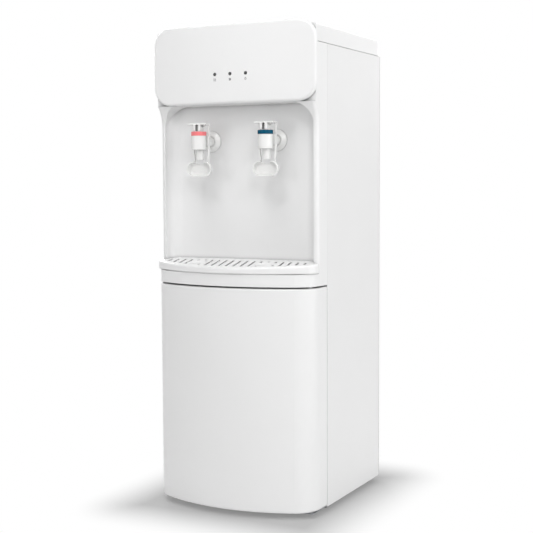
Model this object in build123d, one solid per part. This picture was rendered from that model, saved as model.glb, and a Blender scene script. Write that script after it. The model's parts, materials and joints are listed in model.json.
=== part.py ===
from build123d import *
import os
from math import asin, cos, radians, sin, sqrt

# Free-standing top-loading hot and cold water dispenser with a storage cabinet.
# Millimetres. X runs across, the front faces -Y, Z is up. The origin is the footprint's middle, on the floor.
# Front pieces are placed by their reach forward of the seam between the front moulding and the side panels.

# Overall sizes
cabinet_width = 310.0
cabinet_depth = 240.0          # seam to the outer face of the back panel
tray_reach = 103.6             # seam to the foremost point of the drip grille
condenser_reach = 16.4         # back panel to the rearmost condenser wire

# Heights, from the floor up
foot_height = 8.0
door_floor_gap = 1.8
door_height = 383.5
door_top_gap = 2.5
band_height = 21.0
lip_height = 12.0
alcove_height = 277.5
head_height = 136.1
panel_over_head = 98.5         # underside of the head to the top of the side panels
cover_rise = 30.0

# Sheet metal and mouldings
sheet = 0.8
base_sheet = 1.2
wall = 2.5
hem = 10.0                     # inward fold at the panels' front and rear edges
bend_radius = 1.6
seat_gap = 0.3                 # between mouldings that rest on each other
overrun = 5.0                  # how far a cutting solid passes its work

# Front moulding
column_width = 9.0
column_reach = 37.0
column_edge_radius = 6.5
alcove_depth = 27.0            # column front to the middle of the wall
alcove_rise = 4.0              # how much deeper the wall is in the middle than at its ends
alcove_corner_radius = 22.0
alcove_top_radius = 35.0
cove_height = 36.0
cove_depth = 15.0
head_face_reach = 46.0

# Head plate and lamps
head_overhang = 3.5            # head plate past the cabinet at each side
head_edge_reach = 53.0
head_bow = 7.5
head_corner_radius = 33.0
head_edge_radius = 5.0
lamp_pitch = 30.0
lamp_rise = 50.5
lamp_radius = 3.0
lamp_length = 4.0
lamp_fit = 0.1
board_width = 92.0
board_height = 18.0
board_thickness = 1.6
board_standoff = 2.0
led_radius = 2.3
led_fit = 0.4

# Door
door_corner_reach = 57.4
door_bow = 42.9
door_corner_radius = 50.0
door_seam_gap = 2.5
door_thickness = 22.0
door_edge_radius = 3.5
door_panel_sheet = 2.0
hinge_inset_x = 13.0
hinge_reach = 44.0
pin_radius = 3.0
pin_fit = 0.08
pin_engagement = 9.0
pin_head_radius = 5.0
hinge_boss_radius = 6.5
hinge_boss_height = 11.0
tongue_margin = 9.0
magnet_width = 12.0
magnet_height = 40.0
magnet_depth = 6.0
magnet_rise_share = 0.62       # height of the magnets, as a share of the door's height
strike_thickness = 1.2
catch_gap = 0.5

# Drip tray and grille
lip_overhang = 0.3
lip_corner_reach = 54.7
lip_corner_radius = 26.0
lip_wall = 3.0
lip_top_radius = 4.5
lip_bottom_radius = 3.0
grille_thickness = 2.5
grille_slope = 5.1             # degrees, rising to the rear
grille_fit = 0.6
slot_pitch = 14.0
slot_width = 4.0
slot_heading = 15.0            # degrees in plan, rear ends to the left
slot_border = 11.0
slot_rear_reach = 33.0
slot_count = 23
dish_radius = 15.0
dish_depth = 2.4
dish_border = 2.5
dish_reach = 61.0
tray_fit = 1.0
tray_wall = 2.0

# Taps, by height above or below the axis of the barrel
tap_pitch = 130.6
tap_reach = 55.8
barrel_drop = 62.5             # underside of the head to the axis of the barrel
barrel_radius = 9.0
tail_radius = 7.5
tail_fit = 0.2
tail_past_wall = 11.0
waterway_radius = 4.5
body_radius = 12.75
body_top = 9.0
body_bottom = 15.5
body_edge_radius = 1.5
chamber_radius = 10.2
chamber_floor = 9.0
ring_radius = 13.4
ring_height = 7.0
ring_groove = 0.5
cap_flange_radius = 12.0
cap_skirt_radius = 9.9
cap_skirt_wall = 1.4
cap_skirt_length = 4.0
cap_rise = 0.4
spout_radius = 6.8
spout_bore = 4.8
spout_length = 17.5
spout_setback = 3.5
seat_bore = 4.0
flange_radius = 18.5
flange_rim = 1.5
flange_dome = 5.0
flange_hub_radius = 11.5
nut_radius = 12.0
nut_height = 5.0
stem_radius = 3.0
stem_fit = 0.1
tongue_width = 5.0
tongue_length = 12.0
seal_radius = 6.5
seal_height = 3.0
spring_radius = 7.5
spring_wall = 1.4
spring_fit = 0.3
pin_rise = 8.4                 # lever pin above the cap
lever_pin_radius = 1.5
lever_pin_fit = 0.08
press_fit = 0.01
cheek_gap = 0.2
cheek_width = 4.2
cheek_front = 8.0
cheek_rear = 4.5
cheek_edge_radius = 1.0
bridge_rise = 3.2              # lever pin to the underside of the bridge
bridge_thickness = 2.8
bridge_gusset = 4.0
bridge_front_half_width = 17.8
bridge_round = 2.0
gusset_front = 2.0
arm_gap = 0.5                  # the lever's arms stand wider than the coloured ring by this
arm_width = 2.6
arm_setback = 8.3              # tap axis back to the middle of the arms
arm_depth = 4.0
arm_straight = 21.0            # barrel axis down to where the arms draw in
neck_drop = 36.0
neck_half_width = 14.3
arm_foot_drop = 47.0           # barrel axis down to the arms' feet on the back of the paddle
paddle_half_width = 24.0
paddle_top = 36.0
paddle_bottom = 62.0
paddle_front = 3.0
paddle_depth = 10.5
paddle_wall = 1.8
paddle_back_radius = 7.5
paddle_corner_radius = 12.2
paddle_dip_radius = 15.0
paddle_dip_depth = 5.0

# Cover, bottle seat and spike
cover_gap = 0.8
cover_front_reach = 45.5
cover_overhang = 10.0
cover_rear_radius = 50.0
cover_plan_radius = 22.0
cover_edge_radius = 3.0
bottle_centre = 97.0           # seam back to the axis of the bottle
mouth_radius = 104.0
seat_flange = 9.0
seat_flange_height = 2.5
seat_wall_depth = 38.0
seat_depth = 72.0
seat_throat_radius = 34.0
mouth_taper = 6.0
seat_hole_fit = 1.0
spike_radius = 11.0
spike_bore = 7.0
spike_height = 48.0
spike_tail = 14.0
spike_flange_radius = 20.0
spike_flange_height = 3.0
spike_hole_radius = 1.8
spike_hole_drop = 12.0

# Tanks
upper_deck_drop = 42.0         # barrel axis down to the upper shelf
lower_deck_rise = 23.0         # underside of the band up to the lower shelf
deck_lip = 12.0
cold_radius = 78.0
cold_wall = 1.0
cold_jacket_radius = 97.0
coil_thickness = 6.0
coil_rise = 42.0
coil_height = 84.0
foam_floor = 7.0
baffle_rise_share = 0.52
baffle_fit = 1.0
baffle_thickness = 2.0
baffle_bore = 12.0
hot_radius = 52.0
hot_wall = 1.0
hot_height = 118.0
hot_jacket_radius = 72.0
hot_jacket_gap = 20.2          # side panel to the hot tank's jacket
feed_gap = 29.0                # hot tank's jacket to the axis of the feed hose
heater_thickness = 3.0
heater_height = 50.0
heater_rise = 22.0
hose_radius = 5.0
hose_bend = 9.0
hose_fit = 0.4
thermostat_radius = 8.0
thermostat_height = 7.0
drain_drop = 28.0              # lowest pass of the condenser to the drain
drain_pipe_radius = 6.0
drain_cap_radius = 11.0
drain_cap_height = 12.0
drain_past_panel = 9.0

# Storage compartment, base and feet
base_rim = 16.0
liner_wall = 1.5
liner_flange = 2.0
liner_frame = 17.0
liner_clearance = 32.4         # rear wall of the compartment to the compressor
liner_base_gap = 2.0
foot_radius = 15.0
foot_inset = 26.0

# Back panel
louvre_width = 80.0
louvre_height = 5.0
louvre_pitch = 15.0
louvre_count = 6
louvre_columns = 2
louvre_gap = 30.0
upper_louvre_drop = 96.0
lower_louvre_rise = 96.0
screw_radius = 1.6
screw_fit = 0.1
screw_head_radius = 3.6
screw_head_height = 1.8
screw_length = 5.0
screw_rows = 4
screw_margin = 30.0

# Rear switches and inlet
switch_width = 19.0
switch_height = 28.0
switch_depth = 18.0
switch_flange = 3.0
switch_flange_thickness = 1.8
switch_pitch = 30.0
switch_inset = 63.0            # side of the cabinet to the middle of the switches
switch_drop = 62.0             # top of the side panels down to the switches
rocker_fit = 0.6
rocker_rise = 2.2
rocker_angle = 9.0             # degrees each way
rocker_pivot_depth = 5.0
rocker_pin_radius = 1.5
rocker_pin_length = 1.6
rocker_pin_fit = 0.08
inlet_width = 27.5
inlet_height = 20.0
inlet_depth = 19.0
inlet_flange = 5.0
inlet_flange_thickness = 2.5
inlet_recess_width = 22.5
inlet_recess_height = 15.5
inlet_recess_depth = 15.0
inlet_blade_width = 2.0
inlet_blade_height = 4.0
inlet_blade_length = 12.0
inlet_blade_pitch = 7.0
inlet_inset = 57.0             # side of the cabinet to the middle of the inlet
inlet_rise = 58.0

# Cooling set
compressor_radius = 52.0
compressor_height = 128.0
compressor_dome = 26.0
compressor_clearance = 8.0     # to the back panel
compressor_offset = 20.0
compressor_plate = 3.0
compressor_plate_side = 150.0
compressor_plate_depth = 100.0
mount_radius = 9.0
mount_height = 11.0
mount_inset = 12.0
mount_stud_radius = 3.0
condenser_width = 248.0
condenser_bottom_rise = 222.0  # foot of the panels to the lowest pass
condenser_top_drop = 154.5     # top of the panels to the highest pass
condenser_passes = 8
condenser_tube_radius = 2.5
condenser_wire = 1.6
condenser_wire_count = 21
condenser_wire_margin = 9.0
bracket_width = 16.0
bracket_sheet = 1.2
bracket_height = 12.0
pipe_radius = 3.0
pipe_bend = 14.0
pipe_fit = 1.0
drier_radius = 9.5
drier_length = 70.0
drier_neck = 9.0

# Places worked out from the sizes above
half_width = cabinet_width / 2
seam_y = (tray_reach - cabinet_depth - condenser_reach) / 2
panel_rear = seam_y + cabinet_depth
inner_half = half_width - bend_radius     # half width of what stands inside the panels
panel_bottom = foot_height + base_sheet + seat_gap
door_bottom = foot_height + base_sheet + door_floor_gap
door_top = door_bottom + door_height
band_bottom = door_top + door_top_gap
tray_seat = band_bottom + band_height
grille_edge = tray_seat + lip_height
head_bottom = grille_edge + alcove_height
head_top = head_bottom + head_height
panel_top = head_bottom + panel_over_head
cover_bottom = panel_top + cover_gap
cover_top = panel_top + cover_rise
frame_rear = seam_y - seat_gap
column_front = seam_y - column_reach
alcove_half = half_width - column_width
alcove_back = column_front + alcove_depth
cove_top = head_bottom - seat_gap
cove_bottom = cove_top - cove_height
head_face = seam_y - head_face_reach
plate_rear = head_face - seat_gap
barrel_z = head_bottom - barrel_drop
tap_y = seam_y - tap_reach
cap_top = barrel_z + body_top + ring_height + cap_rise
lever_pin_z = cap_top + pin_rise
bottle_y = seam_y + bottle_centre
upper_deck = barrel_z - upper_deck_drop
lower_deck = band_bottom + lower_deck_rise
hot_offset = half_width - sheet - hot_jacket_gap - hot_jacket_radius
condenser_low = panel_bottom + condenser_bottom_rise
condenser_high = panel_top - condenser_top_drop
condenser_pitch = (condenser_high - condenser_low) / (condenser_passes - 1)
hinge_x = half_width - hinge_inset_x
hinge_y = seam_y - hinge_reach
screw_places = [
    (side * (half_width - hem / 2), panel_bottom + screw_margin
     + row * (panel_top - panel_bottom - 2 * screw_margin) / (screw_rows - 1))
    for side in (-1, 1) for row in range(screw_rows)
]


def block(x, y, z):
    # A box from its low and high corner along each axis.
    middle = [(low + high) / 2 for low, high in (x, y, z)]
    return Pos(*middle) * Box(x[1] - x[0], y[1] - y[0], z[1] - z[0])


def rod(radius, start, length, direction):
    # A cylinder that begins at a point and runs along a direction.
    return Part(Solid.make_cylinder(radius, length, Plane(origin=start, z_dir=direction)).wrapped)


def pipe(points, radius, bend):
    # A round pipe with straight runs and tangent bends.
    path = FilletPolyline(*points, radius=bend)
    start = Plane(origin=points[0], z_dir=Vector(*points[1]) - Vector(*points[0]))
    return sweep(start * Circle(radius), path=path)


def outline(*points):
    return make_face(Polyline(*points, close=True))


def prism(face, low, high):
    return Pos(0, 0, low) * extrude(face, amount=high - low, dir=(0, 0, 1))


def front_prism(face, near, far):
    # A face drawn across and up, run from near to far along Y.
    return Pos(0, near, 0) * extrude(Plane.XZ * face, amount=far - near, dir=(0, 1, 0))


def side_prism(face, left, right):
    # A face drawn along Y and up, run from left to right.
    return Pos(left, 0, 0) * extrude(Plane.YZ * face, amount=right - left, dir=(1, 0, 0))


def turned(face):
    # A profile of radius and height, turned about the vertical axis.
    return revolve(Plane.XZ * face, axis=Axis.Z)


def arc_radius(half, rise):
    return (half ** 2 + rise ** 2) / (2 * rise)


def bow(half, corner, rise, radius):
    # A bowed front: half width, Y of the corners, rise of the bow and corner radius.
    return half, corner, rise, radius


def bow_inset(shape, inset):
    half, corner, rise, radius = shape
    arc = arc_radius(half, rise)
    centre = corner - rise + arc
    inner_corner = centre - sqrt((arc - inset) ** 2 - (half - inset) ** 2)
    return half - inset, inner_corner, inner_corner - (corner - rise + inset), radius - inset


def bow_face(shape, end):
    # Rounded first, then cut off at its end, which may lie within the round corners.
    half, corner, rise, radius = shape
    far = max(end, corner + radius)
    edges = Polyline((half, corner), (half, far), (-half, far), (-half, corner))
    edges += ThreePointArc((-half, corner), (0, corner - rise), (half, corner))
    face = make_face(edges)
    face = fillet(face.vertices().sort_by(Axis.Y)[:2], radius)
    if far > end:
        face -= Pos(0, (end + far + radius) / 2) * Rectangle(4 * half, far + radius - end)
    return face


def bow_y(shape, x):
    # Y of the bowed front at a distance x from the middle.
    half, corner, rise, radius = shape
    arc = arc_radius(half, rise)
    return corner - rise + arc - sqrt(arc ** 2 - x ** 2)


door_shape = bow(half_width, seam_y - door_corner_reach, door_bow, door_corner_radius)
lip_shape = bow(half_width + lip_overhang, seam_y - lip_corner_reach,
                tray_reach - lip_corner_reach, lip_corner_radius)
plate_shape = bow(half_width + head_overhang, seam_y - head_edge_reach, head_bow, 0)


def alcove_wall_y(x):
    # Y of the alcove's wall, which is a little hollow.
    arc = arc_radius(alcove_half, alcove_rise)
    return alcove_back - arc + sqrt(arc ** 2 - x ** 2)


def alcove_plan(inset):
    # Everything in front of the alcove's wall and between the columns, drawn in by a clearance.
    half = alcove_half - inset
    near = seam_y - tray_reach - overrun
    corner = alcove_back - alcove_rise - inset
    edges = Polyline((half, corner), (half, near), (-half, near), (-half, corner))
    edges += ThreePointArc((-half, corner), (0, alcove_back - inset), (half, corner))
    face = make_face(edges)
    return fillet(face.vertices().sort_by(Axis.Y)[-2:], alcove_corner_radius - inset)


def recess_plan(inset):
    # The tray's recess in the band, drawn in by a clearance.
    inner = bow_inset(door_shape, wall + inset)
    ahead = bow_face(inner, column_front - wall - inset)
    between = alcove_plan(inset) & bow_face(inner, alcove_back)
    return ahead + between


def front_frame():
    # Coved side profile, swept across, with the bowed band in front of its foot.
    radius = (cove_height ** 2 + cove_depth ** 2) / (2 * cove_depth)
    half_angle = asin(cove_height / radius) / 2
    cove_middle = (column_front - radius * (1 - cos(half_angle)), cove_bottom + radius * sin(half_angle))
    cove_end = (column_front - cove_depth, cove_top)
    edges = Polyline(cove_end, (head_face, cove_top), (head_face, panel_top), (frame_rear, panel_top),
                     (frame_rear, band_bottom), (column_front, band_bottom), (column_front, cove_bottom))
    edges += ThreePointArc((column_front, cove_bottom), cove_middle, cove_end)
    body = side_prism(make_face(edges), -half_width, half_width)
    sides = [edge for edge in body.edges()
             if abs(abs(edge.center().X) - half_width) < seat_gap
             and (edge.geom_type == GeomType.CIRCLE or edge.center().Y < column_front + seat_gap)
             and edge.center().Z < cove_top - seat_gap and edge.length > column_width]
    body = fillet(sides, column_edge_radius)
    body += prism(bow_face(door_shape, frame_rear), band_bottom, tray_seat)

    # The alcove has round top corners; the tray's recess lies below it.
    half = alcove_half
    mouth = Polyline((half, tray_seat - overrun), (-half, tray_seat - overrun), (-half, head_bottom),
                     (half, head_bottom), close=True)
    mouth = make_face(mouth)
    mouth = fillet(mouth.vertices().sort_by(Axis.Y)[-2:], alcove_top_radius)
    alcove = front_prism(mouth, seam_y - tray_reach, seam_y) & prism(alcove_plan(0), tray_seat, cove_top)
    body -= alcove
    body -= prism(recess_plan(0), band_bottom + wall, tray_seat + overrun)

    # Hollow behind the wall, open at the seam, and wider in the head.
    half = half_width - wall
    corner = alcove_back - alcove_rise + wall
    edges = Polyline((half, corner), (half, seam_y), (-half, seam_y), (-half, corner))
    edges += ThreePointArc((-half, corner), (0, alcove_back + wall), (half, corner))
    body -= prism(make_face(edges), band_bottom + wall, panel_top + overrun)
    body -= block((-half, half), (head_face + wall, seam_y), (cove_top + wall, panel_top + overrun))

    # Flat pads and holes for the taps.
    for side in (-1, 1):
        x = side * tap_pitch / 2
        flat = alcove_wall_y(x)
        body -= rod(flange_radius + seat_gap, (x, seam_y - tray_reach, barrel_z), flat - seam_y + tray_reach,
                    (0, 1, 0))
        body -= rod(tail_radius + tail_fit, (x, flat - overrun, barrel_z), 2 * overrun + wall, (0, 1, 0))
    return body


def plate_block(inset, rear):
    # The head plate's outer form, or its hollow when drawn in by the wall.
    half, corner, rise, radius = plate_shape
    half -= inset
    low, high = head_bottom + inset, head_top - inset
    face = make_face(Polyline((-half, low), (half, low), (half, high), (-half, high), close=True))
    face = fillet(face.vertices(), head_corner_radius - inset)
    wide = plate_shape[0] + overrun
    edge_y = bow_y(plate_shape, wide) + inset
    edges = Polyline((wide, edge_y), (wide, rear + overrun), (-wide, rear + overrun), (-wide, edge_y))
    edges += ThreePointArc((-wide, edge_y), (0, corner - rise + inset), (wide, edge_y))
    bowed = prism(make_face(edges), low - overrun, high + overrun)
    return front_prism(face, seam_y - tray_reach, rear) & bowed


def head_plate():
    body = plate_block(0, plate_rear)
    front = body.faces().sort_by(Axis.Y)[0]
    body = fillet(front.edges(), head_edge_radius)
    body -= plate_block(wall, plate_rear + overrun)
    for place in (-1, 0, 1):
        start = (place * lamp_pitch, seam_y - tray_reach, head_bottom + lamp_rise)
        body -= rod(lamp_radius + lamp_fit, start, tray_reach - head_face_reach - seat_gap, (0, 1, 0))
    return body


def lamp_lenses():
    lenses = []
    for place in (-1, 0, 1):
        x = place * lamp_pitch
        y = bow_y(plate_shape, x)
        lenses.append(rod(lamp_radius, (x, y, head_bottom + lamp_rise), lamp_length, (0, 1, 0)))
    return Compound(children=lenses)


def lamp_board():
    # Board on two standoffs behind the head plate, with a lamp behind each lens.
    z = head_bottom + lamp_rise
    back = plate_rear - board_standoff
    near = back - board_thickness
    body = block((-board_width / 2, board_width / 2), (near, back),
                 (z - board_height / 2, z + board_height / 2))
    for side in (-1, 1):
        body += rod(board_standoff, (side * (board_width / 2 - 2 * board_standoff), back, z),
                    board_standoff, (0, 1, 0))
    for place in (-1, 0, 1):
        x = place * lamp_pitch
        tip = bow_y(plate_shape, x) + lamp_length + led_fit
        body += rod(led_radius, (x, tip, z), near - tip, (0, 1, 0))
    return body


def door_skin():
    # Bowed shell with webs at top and bottom, returns at the seam and a boss round each hinge pin.
    end = seam_y - door_seam_gap
    outer = prism(bow_face(door_shape, end), door_bottom, door_top)
    rim = [edge for face in (outer.faces().sort_by(Axis.Z)[0], outer.faces().sort_by(Axis.Z)[-1])
           for edge in face.edges() if edge.center().Y < end - seat_gap]
    outer = fillet(rim, door_edge_radius)
    inner = bow_inset(door_shape, door_thickness)
    body = outer - prism(bow_face(inner, end + overrun), door_bottom - overrun, door_top + overrun)
    cavity = prism(bow_face(bow_inset(door_shape, wall), end - wall), door_bottom + wall, door_top - wall)
    for z, up in ((door_bottom, 1), (door_top, -1)):
        cavity -= rod(hinge_boss_radius, (hinge_x, hinge_y, z), hinge_boss_height, (0, 0, up))
    body -= cavity
    for z, up in ((door_bottom, 1), (door_top, -1)):
        start = (hinge_x, hinge_y, z - up * overrun)
        body -= rod(pin_radius + pin_fit, start, overrun + pin_engagement, (0, 0, up))
    return body


def door_inner_panel():
    # Bowed plate that closes the back of the door between its webs and returns.
    end = seam_y - door_seam_gap - wall
    low, high = door_bottom + wall, door_top - wall
    face = bow_face(bow_inset(door_shape, door_thickness - door_panel_sheet), end)
    return prism(face - bow_face(bow_inset(door_shape, door_thickness), end + overrun), low, high)


def magnet_height_z():
    return door_bottom + door_height * magnet_rise_share


def door_strike_plates():
    # A steel plate let into the door's free end for each magnet.
    y = seam_y - door_seam_gap
    x = -half_width + (door_thickness - magnet_width) / 2
    z = magnet_height_z() - magnet_height / 2
    return block((x, x + magnet_width), (y, y + strike_thickness), (z, z + magnet_height))


def door_hinge_pins():
    # The lower pin stands on the base pan's tongue, the upper one hangs from the front moulding.
    base, inside = foot_height + base_sheet, pin_engagement - seat_gap
    lower = rod(pin_radius, (hinge_x, hinge_y, base), door_bottom - base + inside, (0, 0, 1))
    upper = rod(pin_radius, (hinge_x, hinge_y, band_bottom), door_top_gap + inside, (0, 0, -1))
    lower += rod(pin_head_radius, (hinge_x, hinge_y, base), (door_bottom - base) / 2, (0, 0, 1))
    upper += rod(pin_head_radius, (hinge_x, hinge_y, band_bottom), door_top_gap / 2, (0, 0, -1))
    return Compound(children=[lower, upper])


def grille_top(lift):
    # The grille's sloping side profile, from below the lip to the top surface moved by lift.
    near = seam_y - tray_reach - overrun
    far = seam_y
    rise = (far - near) * sin(radians(grille_slope)) / cos(radians(grille_slope))
    start = grille_edge + lift - overrun * sin(radians(grille_slope)) / cos(radians(grille_slope))
    return side_prism(outline((near, tray_seat - lip_height), (far, tray_seat - lip_height),
                              (far, start + rise), (near, start)),
                      -half_width - overrun, half_width + overrun)


def grille_surface_z(y):
    return grille_edge + (y - seam_y + tray_reach) * sin(radians(grille_slope)) / cos(radians(grille_slope))


def grille_plan(inset, far):
    # Full width in front of the columns, then between them back to the wall.
    ahead = bow_face(bow_inset(lip_shape, inset), column_front - seat_gap - inset)
    between = alcove_plan(grille_fit + inset) & bow_face(bow_inset(lip_shape, inset), far)
    return ahead + between


def lip_edges(body):
    # The long edges round the lip, ahead of the columns.
    ahead = body.edges().filter_by(lambda edge: edge.center().Y < column_front - 2 * seat_gap)
    return ahead.filter_by(lambda edge: edge.length > lip_corner_radius / 4)


def drip_grille():
    low = tray_seat + seat_gap
    plan = grille_plan(0, alcove_back)
    body = prism(plan, low, head_bottom) & grille_top(0)
    upper = [edge for edge in lip_edges(body) if edge.center().Z > grille_edge - lip_height / 2
             and abs(edge.tangent_at(1 / 2).Z) < 1 / 2]
    body = fillet(upper, lip_top_radius)
    lower = [edge for edge in lip_edges(body).filter_by(Plane.XY) if edge.center().Z < low + seat_gap]
    body = fillet(lower, lip_bottom_radius)
    hollow = prism(grille_plan(lip_wall, alcove_back), tray_seat - lip_height, head_bottom)
    body -= hollow & grille_top(-grille_thickness)

    # Two dishes, each on a thicker pad, then the slanted slots between them.
    keep = []
    for side in (-1, 1):
        x, y = side * tap_pitch / 2, seam_y - dish_reach
        z = grille_surface_z(y)
        body += rod(dish_radius + dish_border, (x, y, z - grille_thickness - dish_depth),
                    dish_depth + grille_thickness / 2, (0, 0, 1))
        ball = (dish_radius ** 2 + dish_depth ** 2) / (2 * dish_depth)
        body -= Pos(x, y, z + ball - dish_depth) * Sphere(ball)
        keep.append(Pos(x, y) * Circle(dish_radius + dish_border + dish_border))
    length = tray_reach * 2
    field = bow_face(bow_inset(lip_shape, slot_border), seam_y - slot_rear_reach)
    middle_y = seam_y - (tray_reach + slot_rear_reach) / 2
    slots = Sketch()
    for place in range(slot_count):
        x = (place - (slot_count - 1) / 2) * slot_pitch
        slots += Pos(x, middle_y) * Rot(0, 0, slot_heading) * Rectangle(slot_width, length)
    slots = slots & field
    for disc in keep:
        slots -= disc
    for face in slots.faces():
        if face.area > slot_width ** 2:
            body -= prism(face, tray_seat, head_bottom)
    return body


def drip_tray():
    low, high = band_bottom + wall + seat_gap, tray_seat - seat_gap
    body = prism(recess_plan(tray_fit), low, high)
    return body - prism(recess_plan(tray_fit + tray_wall), low + tray_wall, high + overrun)


def water_tap_body():
    # Chamber with its seat, an offset spout, and a barrel with a threaded tail through the wall.
    low, high = barrel_z - body_bottom, barrel_z + body_top
    floor = barrel_z - chamber_floor
    shell = Pos(0, 0, (low + high) / 2) * Cylinder(body_radius, high - low)
    shell = fillet(shell.edges().sort_by(Axis.Z)[0], body_edge_radius)
    tail_end = alcove_wall_y(tap_pitch / 2) - tap_y + wall + tail_past_wall
    barrel_end = alcove_wall_y(tap_pitch / 2) - tap_y - flange_rim
    shell += rod(barrel_radius, (0, 0, barrel_z), barrel_end, (0, 1, 0))
    shell += rod(tail_radius, (0, 0, barrel_z), tail_end, (0, 1, 0))
    shell += rod(spout_radius, (0, spout_setback, low + body_edge_radius), spout_length + body_edge_radius,
                 (0, 0, -1))
    shell -= rod(chamber_radius, (0, 0, floor), high - floor + overrun, (0, 0, 1))
    shell -= rod(seat_bore, (0, 0, floor + overrun), overrun + (floor - low) / 2, (0, 0, -1))
    shell -= rod(spout_bore, (0, spout_setback, low - spout_length - overrun),
                 spout_length + overrun + (floor - low) * 2 / 3, (0, 0, 1))
    shell -= rod(waterway_radius, (0, 0, barrel_z), tail_end + overrun, (0, 1, 0))
    return shell


def tap_flange():
    # Domed flange, pushed along the barrel against the wall.
    near = flange_rim + flange_dome
    face = outline((barrel_radius + tail_fit, 0), (flange_radius, 0), (flange_radius, flange_rim),
                   (flange_hub_radius + flange_rim, flange_rim + flange_dome * 2 / 3),
                   (flange_hub_radius, near), (barrel_radius + tail_fit, near))
    ring = revolve(Plane.XZ * face, axis=Axis.Z)
    place = alcove_wall_y(tap_pitch / 2) - tap_y
    return Pos(0, place, barrel_z) * Rot(90, 0, 0) * ring


def tap_nut():
    place = alcove_wall_y(tap_pitch / 2) - tap_y + wall
    nut = extrude(RegularPolygon(nut_radius, 6), amount=nut_height)
    nut -= rod(tail_radius + tail_fit, (0, 0, -overrun), nut_height + 2 * overrun, (0, 0, 1))
    return Pos(0, place + nut_height + seat_gap, barrel_z) * Rot(90, 0, 0) * nut


def tap_ring():
    # Coloured ring, with a shallow groove round its middle.
    low, high = barrel_z + body_top, barrel_z + body_top + ring_height
    middle = (low + high) / 2
    inner = cap_flange_radius + stem_fit
    face = outline((inner, low), (ring_radius - ring_groove, low), (ring_radius, low + ring_groove),
                   (ring_radius, high - ring_groove), (ring_radius - ring_groove, high), (inner, high))
    return turned(face)


def tap_cap():
    # Cap with a skirt inside the chamber and a top that carries the lever's cheeks.
    base = barrel_z + body_top
    bore = stem_radius + stem_fit
    skirt = cap_skirt_radius - cap_skirt_wall
    ceiling, hem_z = cap_top - cap_skirt_wall * 2, base - cap_skirt_length
    face = outline((bore, ceiling), (skirt, ceiling), (skirt, hem_z), (cap_skirt_radius, hem_z),
                   (cap_skirt_radius, base), (cap_flange_radius, base), (cap_flange_radius, cap_top),
                   (bore, cap_top))
    return turned(face)


def tap_stem():
    # Round stem with a collar for the spring, and flats near the top, where the lever's pin goes through.
    low = barrel_z - chamber_floor + seal_height + seat_gap
    stem = rod(stem_radius, (0, 0, low), lever_pin_z - low, (0, 0, 1))
    for side in (-1, 1):
        x = sorted((side * tongue_width / 2, side * stem_radius * 2))
        stem -= block(x, (-stem_radius, stem_radius), (lever_pin_z - tongue_length, lever_pin_z))
    stem += rod(stem_radius, (-tongue_width / 2, 0, lever_pin_z), tongue_width, (1, 0, 0))
    stem += rod(spring_radius - spring_wall, (0, 0, low), spring_wall, (0, 0, 1))
    start = (-tongue_width, 0, lever_pin_z)
    return stem - rod(lever_pin_radius + press_fit, start, 2 * tongue_width, (1, 0, 0))


def tap_seal():
    low = barrel_z - chamber_floor + seat_gap
    return rod(seal_radius, (0, 0, low), seal_height, (0, 0, 1))


def tap_spring():
    # The coil spring's outer form, between the stem's collar and the cap.
    low = barrel_z - chamber_floor + seal_height + 2 * seat_gap + spring_wall
    high = cap_top - cap_skirt_wall * 2 - seat_gap
    inner = stem_radius + stem_fit + spring_fit
    outer = rod(inner + spring_wall, (0, 0, low), high - low, (0, 0, 1))
    return outer - rod(inner, (0, 0, low), high - low, (0, 0, 1))


def tap_lever_pin():
    reach = tongue_width / 2 + cheek_gap + cheek_width
    return rod(lever_pin_radius, (-reach, 0, lever_pin_z), 2 * reach, (1, 0, 0))


def tap_lever():
    # Stirrup: a bridge over the cap with two cheeks on the pin, an arm behind each side and a dished paddle.
    arm_inner = ring_radius + arm_gap
    arm_outer = arm_inner + arm_width
    cheek_inner = tongue_width / 2 + cheek_gap
    cheek_outer = cheek_inner + cheek_width
    bridge_low = lever_pin_z + bridge_rise
    bridge_high = bridge_low + bridge_thickness
    bend_z, neck_z, foot_z = barrel_z - arm_straight, barrel_z - neck_drop, barrel_z - arm_foot_drop
    gusset = bridge_low - bridge_gusset
    near, far = arm_setback - arm_depth / 2, arm_setback + arm_depth / 2
    lever = prism(outline((-bridge_front_half_width, -cheek_front), (bridge_front_half_width, -cheek_front),
                          (arm_outer, far), (-arm_outer, far)), bridge_low, bridge_high)
    for side in (-1, 1):
        cheek = block(sorted((side * cheek_inner, side * cheek_outer)), (-cheek_front, cheek_rear),
                      (cap_top + seat_gap, bridge_low))
        foot = cheek.faces().sort_by(Axis.Z)[0]
        lever += fillet(foot.edges().filter_by(Axis.X), cheek_edge_radius)
        face = outline((side * cheek_outer, gusset), (side * arm_inner, bridge_low),
                       (side * cheek_outer, bridge_low))
        lever += front_prism(face, -gusset_front, cheek_rear)
        neck_inner = neck_half_width - arm_width
        arm = outline((side * arm_inner, bridge_low), (side * arm_inner, bend_z), (side * neck_inner, neck_z),
                      (side * neck_inner, foot_z), (side * neck_half_width, foot_z),
                      (side * neck_half_width, neck_z), (side * arm_outer, bend_z),
                      (side * arm_outer, bridge_low))
        lever += front_prism(arm, near, far)
    top = lever.faces().sort_by(Axis.Z)[-1]
    sides = [edge for edge in top.edges() if abs(edge.center().X) > arm_inner]
    lever = fillet(sides, bridge_round) + paddle_cup()
    bore = lever_pin_radius + lever_pin_fit
    lever -= rod(bore, (-cheek_outer - overrun, 0, lever_pin_z), 2 * (cheek_outer + overrun), (1, 0, 0))
    return lever


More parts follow.
